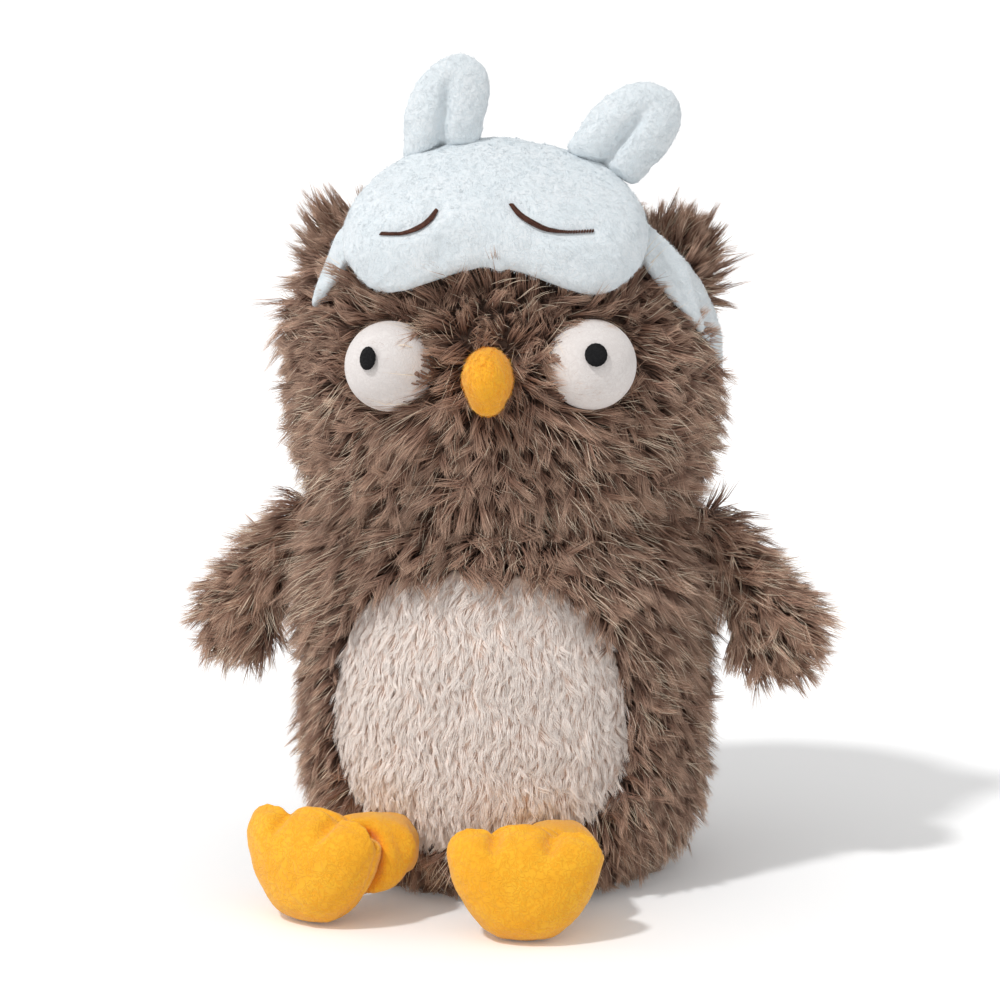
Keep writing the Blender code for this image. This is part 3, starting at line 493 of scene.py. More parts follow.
# %% [markdown]
# ## Fur
#
# Particle hair would be lost when the model is exported, so each strand is mesh: the two upper sides of
# a slim cone with three sides, because nobody sees the one that lies on the fabric. One strand is made
# with a few bmesh calls, an Array modifier repeats it, and then every copy is moved to its root on the
# fabric and bent along its own curve. Strands stand up at the root and lie over towards the tip, along
# the way that the fur is combed, and groups of them lean together into locks, as plush does.

# %% One strand
def make_strand(name, cuts, thickness=0.5):
    """The upper sides of a slim cone of unit height, cut across at shares of its height."""
    form = bmesh.new()
    bmesh.ops.create_cone(form, cap_ends=True, segments=3, radius1=0.5, radius2=0, depth=1)
    bmesh.ops.translate(form, vec=(0, 0, 0.5), verts=form.verts)
    bmesh.ops.scale(form, vec=(1, thickness, 1), verts=form.verts)
    hidden = [face for face in form.faces if face.normal.y < -0.5 or face.normal.z < -0.5]
    bmesh.ops.delete(form, geom=hidden, context="FACES")
    for cut in cuts:
        geometry = form.verts[:] + form.edges[:] + form.faces[:]
        bmesh.ops.bisect_plane(form, geom=geometry, plane_co=(0, 0, cut), plane_no=(0, 0, 1))
    for vertex in form.verts:
        vertex.co.xy *= min(1.0, 1.35 - 0.35 * vertex.co.z) if 0 < vertex.co.z < 1 else 1.0
    layer = form.loops.layers.uv.new(UV_NAME)
    for face in form.faces:
        for loop in face.loops:
            spot = loop.vert.co
            loop[layer].uv = (0.5 + 0.8 * spot.x, 0.02 + 0.96 * spot.z)
    strand = piece_from(name, form)
    strand.hide_render = True
    return strand


STRANDS = [make_strand("fine_strand", (0.35, 0.70), 0.8), make_strand("lock_strand", (0.5,)),
           make_strand("pile_strand", (0.5,), 0.2), make_strand("short_strand", (), 0.15)]
FINE_STRAND, LOCK_STRAND, PILE_STRAND, SHORT_STRAND = STRANDS
print("triangles a strand:", [sum(len(face.vertices) - 2 for face in strand.data.polygons)
                              for strand in STRANDS])


# %% Roots on a fabric
def roots_on(item, density, seed):
    """Random points on a mesh, so many to a square metre, with the smooth normal there."""
    mesh = item.data
    mesh.calc_loop_triangles()
    corners = np.empty(len(mesh.loop_triangles) * 3, dtype=int)
    mesh.loop_triangles.foreach_get("vertices", corners)
    corners = corners.reshape(-1, 3)
    points, normals = points_of(item), normals_of(item)
    first, second, third = (points[corners[:, place]] for place in range(3))
    areas = np.linalg.norm(np.cross(second - first, third - first), axis=1) / 2
    chance = np.random.default_rng(seed)
    count = int(areas.sum() * density)
    face = chance.choice(len(corners), count, p=areas / areas.sum())
    across, up = chance.random((2, count))
    over = across + up > 1
    across[over], up[over] = 1 - across[over], 1 - up[over]
    weights = np.stack([1 - across - up, across, up], axis=1)[:, :, None]
    return ((points[corners[face]] * weights).sum(1),
            unit((normals[corners[face]] * weights).sum(1)))


# %% Growing and combing
def nearest_of(points, centres):
    tree = KDTree(len(centres))
    for number, centre in enumerate(centres):
        tree.insert(centre, number)
    tree.balance()
    return np.array([tree.find(point)[1] for point in points])


def grow(name, strand, roots, normals, lay, length, width, tone, seed, stand, stray, lock, pull,
         curl=0.22, shun=()):
    """Copies a strand to every root and combs it. Stand is the angle off the fabric at the root and
    at the tip, stray how many degrees a strand and a lock wander, lock how many strands lean
    together, pull how far they lean to their lock's tip, and curl how far they bend sideways. Shun
    lists balls that no strand enters."""
    chance = np.random.default_rng(seed)
    count = len(roots)
    fur = shown(strand.copy())
    fur.data = strand.data.copy()
    fur.name = name
    fur.hide_render = False
    applied(modified(fur, "ARRAY", count=count, use_relative_offset=False))
    fur.data.shade_flat()

    leaders = chance.choice(count, max(1, count // lock), replace=False)
    group = nearest_of(roots, roots[leaders])

    def wander(alone, together):
        return (chance.normal(0, alone, count)
                + chance.normal(0, together, len(leaders))[group])

    length = length * np.clip(1 + wander(0.06, 0.14), 0.5, 1.5)
    tone = np.clip(tone + wander(3, 6) * (tone < PALE_TONE), 0, TONES - 1)
    lay = unit(lay - normals * (lay * normals).sum(1, keepdims=True))
    turn = np.radians(wander(*stray))[:, None]
    lay = lay * np.cos(turn) + np.cross(lay, normals) * np.sin(turn)
    side = np.cross(lay, normals)
    start = np.radians(stand[0] + wander(5, 9))
    end = np.minimum(np.radians(stand[1] + wander(6, 12)), start - 0.1)

    def line(along):
        angle = start + (end - start) * along
        forward = (np.sin(angle) - np.sin(start)) / (end - start) * length
        upward = (np.cos(start) - np.cos(angle)) / (end - start) * length
        return roots + lay * forward[:, None] + normals * upward[:, None], angle[:, None]

    bow = (wander(curl / 3, curl) * length)[:, None]
    tips, _ = line(1.0)
    lean = (tips[leaders][group] - tips) * (pull * chance.uniform(0.5, 1.2, count))[:, None]
    shape = points_of(strand)
    placed = np.empty((count, len(shape), 3))
    for number, (across, over, along) in enumerate(shape):
        middle, angle = line(along)
        rise = normals * np.cos(angle) - lay * np.sin(angle)
        placed[:, number] = (middle + lean * along ** 1.4 + side * bow * along ** 2
                             + (side * across + rise * over) * width)
    for centre, radius in shun:
        away = placed - np.array(centre)
        far = np.linalg.norm(away, axis=2, keepdims=True)
        placed = np.where(far < radius, centre + away / far * radius, placed)
    placed[:, :, 2] = np.maximum(placed[:, :, 2], 0.3 * MM)
    set_points(fur, placed.reshape(-1, 3))

    layer = fur.data.uv_layers[UV_NAME].uv
    spots = np.empty(len(layer) * 2)
    layer.foreach_get("vector", spots)
    spots = spots.reshape(count, -1, 2)
    spots[:, :, 0] = (np.floor(tone)[:, None] + spots[:, :, 0]) / TONES
    layer.foreach_set("vector", spots.ravel())
    return fur


def tones_for(count, seed, pale_share, middle=30):
    """A tone for each strand: most from dark to light, and a share of pale ones."""
    chance = np.random.default_rng(seed)
    tones = np.clip(chance.normal(middle, 9, count), 0, PALE_TONE - 1)
    tones[chance.random(count) < pale_share] = PALE_TONE + 2
    return tones


FUZZ_LENGTH = 1.5 * MM
FUZZ_WAYS = dict(stand=(38, 10), stray=(18, 34), lock=10, pull=0.4)


def fuzz(name, item, body, slot, material, lay, seed, keep=None, density=2.0e6, width=0.18 * MM,
         **ways):
    """A short pile all over a piece, or where keep says so, combed one way or by a function."""
    roots, normals = roots_on(item, density, seed)
    if keep is not None:
        chosen = keep(roots, normals)
        roots, normals = roots[chosen], normals[chosen]
    combed = lay(roots) if callable(lay) else np.array(lay)
    pile = grow(name, SHORT_STRAND, roots, normals, combed, FUZZ_LENGTH, width,
                tones_for(len(roots), seed + 1, 0.0), seed + 2, **{**FUZZ_WAYS, **ways})
    dress(pile, body, material)


# %% [markdown]
# ## Padded pieces
#
# A stuffed piece starts as a closed shell with the outline of its fabric: a flat slab, or a pillow
# whose sides are domed already. Blender's cloth with pressure inside blows it up as stuffing does, and
# then it is scaled to the size that the frame gives. The solver is at its best with things about half a
# metre wide, so the shell is larger while it runs.

# %% Stuffing a shell
STUFFING_SCALE = 8
STUFFING_FRAMES = 20
CUT_SHARE = 0.95              # of the finished outline, because a stuffed piece swells past its cut
DOME_STEPS = 6


def cut(outline):
    """The outline of a piece before it is stuffed."""
    return [Vector((point.x * CUT_SHARE, point.y * CUT_SHARE)) for point in outline]


def slab(name, outline, low, high):
    """A flat piece whose outline (across, up) lies in the XY plane, between two heights."""
    form = bmesh.new()
    bmesh.ops.create_circle(form, cap_ends=True, segments=len(outline), radius=1)
    for vertex, point in zip(form.verts, outline):
        vertex.co = (point.x, point.y, low)
    top = bmesh.ops.extrude_face_region(form, geom=form.faces[:])
    bmesh.ops.translate(form, vec=(0, 0, high - low),
                        verts=[part for part in top["geom"] if isinstance(part, bmesh.types.BMVert)])
    bmesh.ops.recalc_face_normals(form, faces=form.faces)
    return piece_from(name, form)


def pillow(name, outline, middle, half, front, behind):
    """A slab whose two sides are domed already, for a piece that is stuffed hard. Front and behind
    say how fast each side draws in: below 1, it is fuller."""
    form = bmesh.new()
    bmesh.ops.create_circle(form, cap_ends=True, segments=len(outline), radius=1)
    middle = Vector(middle)
    for vertex, point in zip(form.verts, outline):
        vertex.co = (point.x, point.y, 0)
    both = bmesh.ops.extrude_face_region(form, geom=form.faces[:])
    other = next(part for part in both["geom"] if isinstance(part, bmesh.types.BMFace))
    first = next(face for face in form.faces if len(face.verts) == len(outline) and face != other)
    for face, way, power in ((first, -1, behind), (other, 1, front)):
        for step in range(1, DOME_STEPS):
            before, after = [math.cos(part / DOME_STEPS * math.pi / 2) ** power
                             for part in (step - 1, step)]
            grown = bmesh.ops.extrude_face_region(form, geom=[face])["geom"]
            bmesh.ops.delete(form, geom=[face], context="FACES_ONLY")
            face = next(part for part in grown if isinstance(part, bmesh.types.BMFace))
            for vertex in face.verts:
                flat = middle + (Vector(vertex.co.xy) - middle) * (after / before)
                vertex.co = (*flat, way * half * math.sin(step / DOME_STEPS * math.pi / 2))
    bmesh.ops.remove_doubles(form, verts=form.verts, dist=0.01 * MM)
    bmesh.ops.recalc_face_normals(form, faces=form.faces)
    return piece_from(name, form)


def stuffed(item, voxel, pressure, cap):
    """Blows a piece up like a cushion, with a limit on how far a point moves."""
    remeshed(item, voxel, 2)
    rest = points_of(item)
    set_points(item, rest * STUFFING_SCALE)
    cloth = item.modifiers.new("cloth", "CLOTH")
    cloth.settings.use_pressure = True
    cloth.settings.uniform_pressure_force = pressure
    cloth.settings.effector_weights.gravity = 0
    for step in range(1, STUFFING_FRAMES + 1):
        bpy.context.scene.frame_set(step)
    applied(item)
    bpy.context.scene.frame_set(1)
    moved = points_of(item) / STUFFING_SCALE - rest
    far = np.linalg.norm(moved, axis=1, keepdims=True)
    set_points(item, rest + moved * np.minimum(1, cap / np.maximum(far, 1e-9)))
    finer(item)
    print(item.name, "moved by up to", round(float(far.max()) / MM, 1), "mm,",
          len(item.data.polygons), "faces")
    return item


def to_outline(item, outline):
    """Moves a stuffed piece's points in or out from its middle until its edge is an outline."""
    points = points_of(item)
    far, angle = polar(points)
    steps = 180
    edge = np.zeros(steps)
    np.maximum.at(edge, ((angle + math.pi) / math.tau * steps).astype(int) % steps, far)
    middles = (np.arange(steps) + 0.5) / steps * math.tau - math.pi
    ratio = reach_at(outline, middles) / np.maximum(edge, 1e-6)
    ratio = (np.roll(ratio, 1) + ratio * 2 + np.roll(ratio, -1)) / 4
    points[:, :2] *= np.interp(angle, middles, ratio, period=math.tau)[:, None]
    set_points(item, points)


def fitted(item, low, high):
    """Scales a piece to a box."""
    points = points_of(item)
    least, most = points.min(0), points.max(0)
    set_points(item, np.array(low) + (points - least) / (most - least)
               * (np.array(high) - np.array(low)))
    return item


# %% [markdown]
# ### Feet and legs
#
# Each foot is a fan of two velour panels with three toes along its upper edge, stuffed until its sole
# is round. A valley runs down from the notch between two toes, and the seam shows as a groove just
# behind the edge. The legs are short tubes in loose folds, thinner towards the body.

# %% Feet
FOOT_WIDTH = 55.5 * MM
FOOT_HEIGHT = 40.5 * MM
FOOT_THICKNESS = 27 * MM
FOOT_TILT = math.radians(6)
FOOT_PLACE = {"left": (-58.6 * MM, -84.5 * MM), "right": (20.4 * MM, -95.1 * MM)}
FOOT_TURN = {"left": math.radians(-27), "right": math.radians(1)}
# right half of a foot from the middle of its upper edge to the heel
FOOT_OUTLINE_SHARES = [
    (0.00, 0.985), (0.25, 0.97), (0.50, 0.945), (0.72, 0.945), (0.90, 0.89), (1.00, 0.77),
    (0.98, 0.64), (0.89, 0.45), (0.73, 0.26), (0.53, 0.11), (0.29, 0.02), (0.00, 0.00),
]
NOTCH_SHARE = 0.36            # of half the width, from the middle to a notch between toes
NOTCH_WIDTH = 0.09
NOTCH_DEPTH = 3.2 * MM
VALLEY_DEPTH = 0.7 * MM
LIP_HEIGHT = 1.2 * MM         # along the upper edge, with a groove behind it
GROOVE_DEPTH = 2.2 * MM
SEAM_DEPTH = 0.7 * MM         # along the rest of the edge
LEG_SHIFT = {"left": 0.0, "right": -5.0 * MM}
LEG_TAPER = 0.32
LEG_STRETCH = 6 * MM


def foot_form(side):
    outline = cut(smooth_loop([(across * FOOT_WIDTH / 2, up * FOOT_HEIGHT)
                               for across, up in mirrored(FOOT_OUTLINE_SHARES)], 120))
    half = FOOT_THICKNESS / 2
    foot = stuffed(pillow(f"foot_{side}", outline, (0, FOOT_HEIGHT * 0.45), half * 0.85, 0.8, 0.65),
                   1.5 * MM, 4, 1.0 * MM)
    fitted(foot, (-FOOT_WIDTH / 2, 0, -half), (FOOT_WIDTH / 2, FOOT_HEIGHT, half))
    points = points_of(foot)
    across, up, out = points.T / np.array(((FOOT_WIDTH / 2,), (FOOT_HEIGHT,), (MM,)))
    in_front, top = ramp(out, -0.5, 1.5), ramp(up, 0.72, 0.95)
    notch = sum(hump(across - sign * NOTCH_SHARE, NOTCH_WIDTH) for sign in SIDES.values())
    points[:, 1] -= NOTCH_DEPTH * notch * top * in_front
    points[:, 2] -= VALLEY_DEPTH * notch * ramp(up, 0.66, 0.92) * in_front
    points[:, 1] += top * (LIP_HEIGHT * hump(out - 1.8, 1.3) - GROOVE_DEPTH * hump(out + 1.0, 1.3))
    points[:, 1] += top * (1 - in_front) * (0.8 - 5.0 * ramp(np.abs(across), 0.25, 0.65)) * MM
    set_points(foot, points)
    seam = hump(out + 0.4, 0.8) * (1 - top)
    set_points(foot, points - normals_of(foot) * (seam * SEAM_DEPTH)[:, None])
    return ruffled(finer(foot), (5 * MM, 0.35 * MM), (1.6 * MM, 0.10 * MM))


for side in SIDES:
    foot = foot_form(side)
    stand = (Matrix.Rotation(FOOT_TURN[side], 4, "Z") @ Matrix.Rotation(-FOOT_TILT, 4, "X")
             @ Matrix.Rotation(math.pi / 2, 4, "X"))
    foot.data.transform(stand)
    foot.data.transform(Matrix.Translation((*FOOT_PLACE[side], -points_of(foot)[:, 2].min())))
    dress(foot, f"{side}_leg", ORANGE_VELOUR,
          [f"foot_{part}_{side}" for part in ("sole", "upper", "stuffing")])

    leg = remeshed(copy_of_nodes(f"leg_tube_{side}", f"leg_{side}"), 1.5 * MM, 3)
    points, normals = points_of(leg), normals_of(leg)
    low, high = points.min(0), points.max(0)
    run = (points[:, 1] - low[1]) / (high[1] - low[1])
    folds = np.sin(run * 15 + points[:, 0] * 160) * np.sin(points[:, 2] * 230 + 1)
    points += normals * ((1.3 + folds * 0.7) * MM)[:, None]
    points[:, 2] = high[2] + (points[:, 2] - high[2]) * (1 - LEG_TAPER * run)
    points[:, 1] += LEG_STRETCH * ramp(run, 0.4, 1.0)
    points[:, 0] += LEG_SHIFT[side]
    set_points(leg, points)
    dress(leg, f"{side}_leg", ORANGE_VELOUR, [f"leg_{side}"])

# %% [markdown]
# ### The mask
#
# The mask is cut flat too, with an arch over the beak, stuffed thinly, and laid over the forehead. Its
# flat shape is bent there point by point. Before that, the two closed eyes are pressed into it, because
# an embroidered line pulls the pile down.

# %% The mask's place
MASK_TILT = math.radians(57)
MASK_WIDTH = 95 * MM
MASK_RISE = 36 * MM
MASK_DROP = 32 * MM
PAD_HEIGHT = 14 * MM          # out from the head, without its pile
PAD_SHARE = 0.975             # of the outline, so that the pile reaches it
# right half of the mask from the upper edge to the arch over the beak
MASK_OUTLINE_SHARES = [
    (0.00, 1.00), (0.30, 0.97), (0.62, 0.80), (0.88, 0.46), (1.00, 0.02), (0.97, -0.50),
    (0.82, -0.88), (0.62, -1.00), (0.38, -0.95), (0.16, -0.85), (0.00, -0.82),
]
AHEAD = Vector((0, -math.cos(MASK_TILT), math.sin(MASK_TILT)))
UPWARD = Vector((0, math.sin(MASK_TILT), math.cos(MASK_TILT)))
HEAD_AXES = np.array((HEAD_WIDTH / 2, HEAD_DEPTH / 2, HEAD_DEPTH / 2))
HEAD_CENTRE = np.array((0, 0, HEAD_MIDDLE))


def mask_outline(count):
    return smooth_loop([(across * MASK_WIDTH / 2, up * (MASK_RISE if up > 0 else MASK_DROP))
                        for across, up in mirrored(MASK_OUTLINE_SHARES)], count)


def on_mask(flat):
    """Lays flat points (across, up, out) on the forehead, before the head is turned."""
    reach = np.maximum(polar(flat)[0], 1e-9)[:, None]
    swing = reach / (HEAD_DEPTH / 2)
    aside = np.array((1, 0, 0)) * flat[:, :1] + np.array(UPWARD) * flat[:, 1:2]
    ray = np.array(AHEAD) * np.cos(swing) + aside / reach * np.sin(swing)
    return ray * HEAD_AXES + unit(ray / HEAD_AXES) * flat[:, 2:] + HEAD_CENTRE


# %% Mask pad
EYE_ARC_SHARES = {            # closed eyes, from their inner end outwards
    "left": [(-0.31, -0.30), (-0.35, -0.41), (-0.42, -0.48), (-0.52, -0.50), (-0.64, -0.45)],
    "right": [(0.11, -0.26), (0.18, -0.39), (0.29, -0.48), (0.42, -0.50), (0.58, -0.43)],
}
MASK_CLEAR = 2.1 * MM         # between the pad and the head
RIM_HEIGHT = 5.5 * MM
PRESS_DEPTH = 1.6 * MM        # under the closed eyes
PRESS_REACH = 2.6 * MM
EDGE_DROP = 4.5 * MM          # of the lower edge, towards the head
LINING_SHARE = 0.93


def eye_arc(side, count):
    """Points along a closed eye."""
    knots = [Vector((across * MASK_WIDTH / 2, up * MASK_DROP)) for across, up in EYE_ARC_SHARES[side]]
    knots = [knots[0] * 2 - knots[1]] + knots + [knots[-1] * 2 - knots[-2]]
    result = []
    for step in range(count):
        at = step * (len(knots) - 3) / (count - 1)
        first = min(int(at), len(knots) - 4)
        result.append(curve_point(*knots[first:first + 4], at - first))
    return result


def arc_gap(flat):
    """How far flat points are from the nearer closed eye."""
    spots = np.array([point for side in SIDES for point in eye_arc(side, 40)])
    return np.min(np.linalg.norm(flat[:, None, :2] - spots[None], axis=2), axis=1)


mask = stuffed(slab("mask_pad", cut(mask_outline(160)), -4 * MM, 4 * MM), 2.2 * MM, 5, 5 * MM)
to_outline(mask, [point * PAD_SHARE for point in mask_outline(160)])
flat = points_of(mask)
flat[:, 2] /= np.abs(flat[:, 2]).max()
flat[:, 2] = RIM_HEIGHT + flat[:, 2] * np.where(flat[:, 2] > 0, PAD_HEIGHT - RIM_HEIGHT,
                                                RIM_HEIGHT - MASK_CLEAR)
in_front = share(flat[:, 2], RIM_HEIGHT, 3 * MM)
flat[:, 2] -= PRESS_DEPTH * hump(arc_gap(flat), PRESS_REACH) * in_front
flat[:, 2] -= EDGE_DROP * ramp(-flat[:, 1] / MASK_DROP, 0.4, 0.95)
set_points(mask, flat)
ruffled(finer(relaxed(mask, 6)), (5 * MM, 0.30 * MM), (1.8 * MM, 0.16 * MM))
flat = points_of(mask)
pad_tree = BVHTree.FromPolygons([Vector(point) for point in flat],
                                [tuple(face.vertices) for face in mask.data.polygons])
set_points(mask, on_mask(flat))
dress(turned_with_head(mask), "mask", BLUE_VELOUR, ["mask_front", "mask_padding"])

lining = copy_of_nodes("mask_inner", "mask_lining")
points = points_of(lining)
set_points(lining, points.mean(0) + (points - points.mean(0)) * LINING_SHARE)
dress(lining, "mask", BLUE_LINING, ["mask_lining"])

# %% Mask pile
UNTURN = np.array(Matrix.Rotation(-HEAD_TURN, 3, "Z"))


def mask_spot(points):
    """Where points near the head lie on the flat mask."""
    ray = unit((points @ UNTURN.T - HEAD_CENTRE) / HEAD_AXES)
    swing = np.arccos(np.clip(ray @ np.array(AHEAD), -1, 1))
    aside = np.stack([ray[:, 0], ray @ np.array(UPWARD)], axis=1)
    return unit(aside) * (swing * HEAD_DEPTH / 2)[:, None]


def off_arcs(roots, normals):
    return arc_gap(mask_spot(roots)) > 1.3 * MM


def mask_lay(roots):
    lay = np.full_like(roots, -0.5)
    lay[:, 0] = roots[:, 0] * 18 + np.sin(roots[:, 2] * 300) * 0.4
    lay[:, 2] = -0.6
    return lay


fuzz("mask_pile", mask, "mask", "blue_velour", BLUE_PILE, mask_lay, 21, off_arcs)

# %% Closed eyes
STITCHES = 44
STITCH_LENGTH = 1.25 * MM
STITCH_SLANT = math.radians(62)

for side in SIDES:
    arc = eye_arc(side, STITCHES)
    form = bmesh.new()
    for number, place in enumerate(arc):
        ahead = (arc[min(number + 1, STITCHES - 1)] - arc[max(number - 1, 0)]).normalized()
        along = min(number / (STITCHES - 1) * 1.3, 1)
        wide = (0.6 + 0.4 * math.sin(math.pi * along)) * STITCH_LENGTH
        hit = pad_tree.ray_cast(Vector((*place, 0.1)), Vector((0, 0, -1)))[0]
        turn = Matrix.Rotation(math.atan2(ahead.y, ahead.x) + STITCH_SLANT, 4, "Z")
        shape = Matrix.Diagonal((wide, 0.33 * MM, 0.42 * MM, 1))
        matrix = Matrix.Translation((*place, hit.z + 0.6 * MM)) @ turn @ shape
        bmesh.ops.create_icosphere(form, subdivisions=2, radius=1, matrix=matrix)
    stitches = piece_from(f"closed_eye_stitches_{side}", form)
    set_points(stitches, on_mask(points_of(stitches)))
    dress(turned_with_head(stitches), "mask", BROWN_THREAD, [f"closed_eye_{side}"])

# %% Bunny ears
EAR_WIDTH = 36.5 * MM
EAR_LENGTHS = {"left": 31 * MM, "right": 34.5 * MM}
EAR_ASIDE = {"left": 0.5 * MM, "right": 3.0 * MM}
EAR_THICKNESS = 12 * MM
EAR_SINK = 4 * MM             # how far it goes down behind the mask's edge
EAR_BEND = {"left": math.radians(19), "right": math.radians(10)}
EAR_LEAN = {"left": math.radians(-12), "right": math.radians(28)}
EAR_HALF = [                  # right half of its outline, from the tip down
    (0.00, 1.00), (0.40, 0.95), (0.76, 0.79), (0.96, 0.54), (0.94, 0.28), (0.74, 0.0),
]
CREASE_DEPTH = 3.0 * MM
CREASE_WIDTH = 2.2 * MM
SWELL_HEIGHT = 0.8 * MM       # beside the crease
SWELL_ASIDE = 7 * MM
SWELL_WIDTH = 5 * MM


def make_bunny_ear(side):
    """A thin cushion with a soft crease up its front."""
    bend = math.tan(EAR_BEND[side])
    tall = EAR_LENGTHS[side]
    outline = []
    for wide, high in EAR_HALF + [(-wide, high) for wide, high in EAR_HALF[:0:-1]]:
        along = high * (tall + EAR_SINK) - EAR_SINK
        outline.append((wide * EAR_WIDTH / 2 * 0.94 + along * bend, along))
    loop = [Vector((point.x, max(point.y, -EAR_SINK))) for point in smooth_loop(outline, 90)]
    ear = stuffed(pillow(f"bunny_ear_{side}", loop, (tall * bend / 2, tall / 2),
                         EAR_THICKNESS * 0.42, 0.7, 0.7), 1.5 * MM, 4, 1.2 * MM)
    points = points_of(ear)
    points[:, 2] *= EAR_THICKNESS / 2 / np.abs(points[:, 2]).max()
    aside = np.abs(points[:, 0] - points[:, 1] * bend)
    crease = (SWELL_HEIGHT * hump(aside - SWELL_ASIDE, SWELL_WIDTH)
              - CREASE_DEPTH * hump(aside, CREASE_WIDTH)) * ramp(0.86 - points[:, 1] / tall, 0, 0.4)
    points[:, 2] += crease * ramp(points[:, 2], 0, 2 * MM)
    set_points(ear, points[:, (0, 2, 1)] * np.array((1, -1, 1)))
    ruffled(finer(ear), (5 * MM, 0.25 * MM), (1.8 * MM, 0.16 * MM))
    foot = JOINTS[f"{side}_mask_ear_flop"]["pos_m"]
    ear.data.transform(Matrix.Rotation(HEAD_TURN, 4, "Z") @ Matrix.Rotation(EAR_LEAN[side], 4, "Y"))
    ear.data.transform(Matrix.Translation(Vector(foot) + Vector((EAR_ASIDE[side], 0, 0))))
    body = f"{side}_mask_ear"
    dress(ear, body, BLUE_VELOUR, [f"mask_ear_{side}"])
    below = np.array(foot) - np.array((0, 0, 30 * MM))
    fuzz(f"bunny_ear_pile_{side}", ear, body, "blue_velour", BLUE_PILE,
         lambda roots: unit(roots - below), 25 + SIDES[side])


for side in SIDES:
    make_bunny_ear(side)

# %% Strap
strap = remeshed(copy_of_nodes("strap_band", "mask_strap"), 1.2 * MM, 3)


def strap_height(spots):
    """How high the strap is on the way out from the head's axis through each point."""
    band = points_of(strap) @ UNTURN.T
    turns = np.arctan2(band[:, 0], -band[:, 1])
    steps = np.radians(np.arange(-180, 180, 4))
    heights = np.full(len(steps), 1.0)
    for number, step in enumerate(steps):
        near = np.abs(np.angle(np.exp(1j * (turns - step)))) < np.radians(3)
        if near.any():
            heights[number] = band[near, 2].mean()
    return np.interp(np.arctan2(spots[:, 0], -spots[:, 1]), steps, heights, period=math.tau)


def strap_lay(roots):
    return np.stack([-roots[:, 1], roots[:, 0], np.full(len(roots), -0.02)], axis=1)


def outwards(roots, normals):
    """Leaves out the side of the strap that lies against the head."""
    return (normals * unit(roots * np.array((1, 1, 0)))).sum(1) > -0.2


STRAP_WIDENING = 0.6          # in front
STRAP_LIFT = 5 * MM           # at the sides

# it is pressed into the fur all round, more at the sides, and most beside the left eye
points = points_of(strap)
spots = points @ UNTURN.T
middle = strap_height(spots)
at_side = hump(points[:, 1], 45 * MM)
widening = STRAP_WIDENING * ramp(-spots[:, 1], -5 * MM, 30 * MM)
points[:, 2] = middle + (points[:, 2] - middle) * (1 + widening) + STRAP_LIFT * at_side
sunk = ramp(-spots[:, 1], -14 * MM, 2 * MM) * ramp(226 * MM - middle, 0, 6 * MM) * (spots[:, 0] < 0)
inward = 5 - 2 * ramp(points[:, 1], 10 * MM, 50 * MM) + 5.5 * at_side + 8 * sunk
points[:, :2] -= unit(points[:, :2]) * (inward * MM)[:, None]
set_points(strap, points)
dress(strap, "mask", BLUE_VELOUR, ["mask_strap"])
fuzz("strap_pile", strap, "mask", "blue_velour", BLUE_PILE, strap_lay, 31, outwards, stray=(18, 26),
     lock=20)
print("mask, ears and strap made")

# %% [markdown]
# ## The brown fur
#
# Under the pile is the backing cloth. The CAD has the stuffing's outer face just inside it, so a
# remeshed copy of the stuffing, drawn in a little at the sides, is the backing. Most strands are wide
# and grow in locks; the rest are guard hairs, thin, long and often pale, which stand out of the locks.
# The fur is in quarters, because one mesh of it all would be too large to share.

# %% Backing
BACKING_VOXEL = 3 * MM


def backing(name, shrink, node):
    item = remeshed(copy_of_nodes(name, node), BACKING_VOXEL, 4)
    points = points_of(item)
    points[:, :2] -= normals_of(item)[:, :2] * shrink
    set_points(item, points)
    return item


# %% Fur in locks
GUARD_SHARE = 0.08            # of the strands that are guard hairs
FUR_LENGTH = 13.5 * MM
LOCK_WIDTH = 0.80 * MM
GUARD_WIDTH = 0.55 * MM
LOCK_WAYS = dict(stray=(10, 34), lock=15, pull=0.86, curl=0.16)
GUARD_WAYS = dict(stray=(24, 26), pull=0.3, curl=0.06)


def add_fur(prefix, body, replaced, roots, normals, lay, seed, sectors, length, rise=0.0,
            stand=(62, 20), tone=30, **ways):
    """Grows fur in sectors, each one piece of locks and one of guard hairs. Rise says where it stands
    up more."""
    chance = np.random.default_rng(seed)
    count = len(roots)
    is_guard = chance.random(count) < GUARD_SHARE
    length = np.broadcast_to(length, count) * chance.uniform(0.85, 1.15, count)
    rise = np.broadcast_to(rise, count)
    lay = np.broadcast_to(lay, roots.shape)
    locks = {**LOCK_WAYS, **ways}

    def part(kind, strand, mine, stretch, width, tones, seed, stand, rising, replaced, ways):
        angles = [angle + more * rise[mine] for angle, more in zip(stand, rising)]
        fur = grow("_".join(filter(None, (prefix, kind, label))), strand, roots[mine], normals[mine],
                   lay[mine], length[mine] * stretch, width, tones, seed, angles, **ways)
        dress(fur, body, BROWN_PILE, replaced)

    for number, (label, inside) in enumerate(sectors):
        mine = inside & ~is_guard
        part("fur", LOCK_STRAND, mine, 1.0, LOCK_WIDTH,
             tones_for(mine.sum(), seed + number, 0.0, tone), seed + 31 * number, stand, (16, 34),
             () if number else replaced, locks)
        mine = inside & is_guard
        part("guard_hairs", FINE_STRAND, mine, 1.02, GUARD_WIDTH,
             tones_for(mine.sum(), seed + number + 9, 0.75), seed + 31 * number + 1, (64, 34), (12, 22),
             (), {**locks, **GUARD_WAYS})


def quarters(points):
    front, left = points[:, 1] < 0, points[:, 0] < 0
    return (("front_left", front & left), ("front_right", front & ~left),
            ("back_left", ~front & left), ("back_right", ~front & ~left))


def whole(points):
    """One sector without a label, for fur that is small enough for one mesh."""
    return (("", np.full(len(points), True)),)


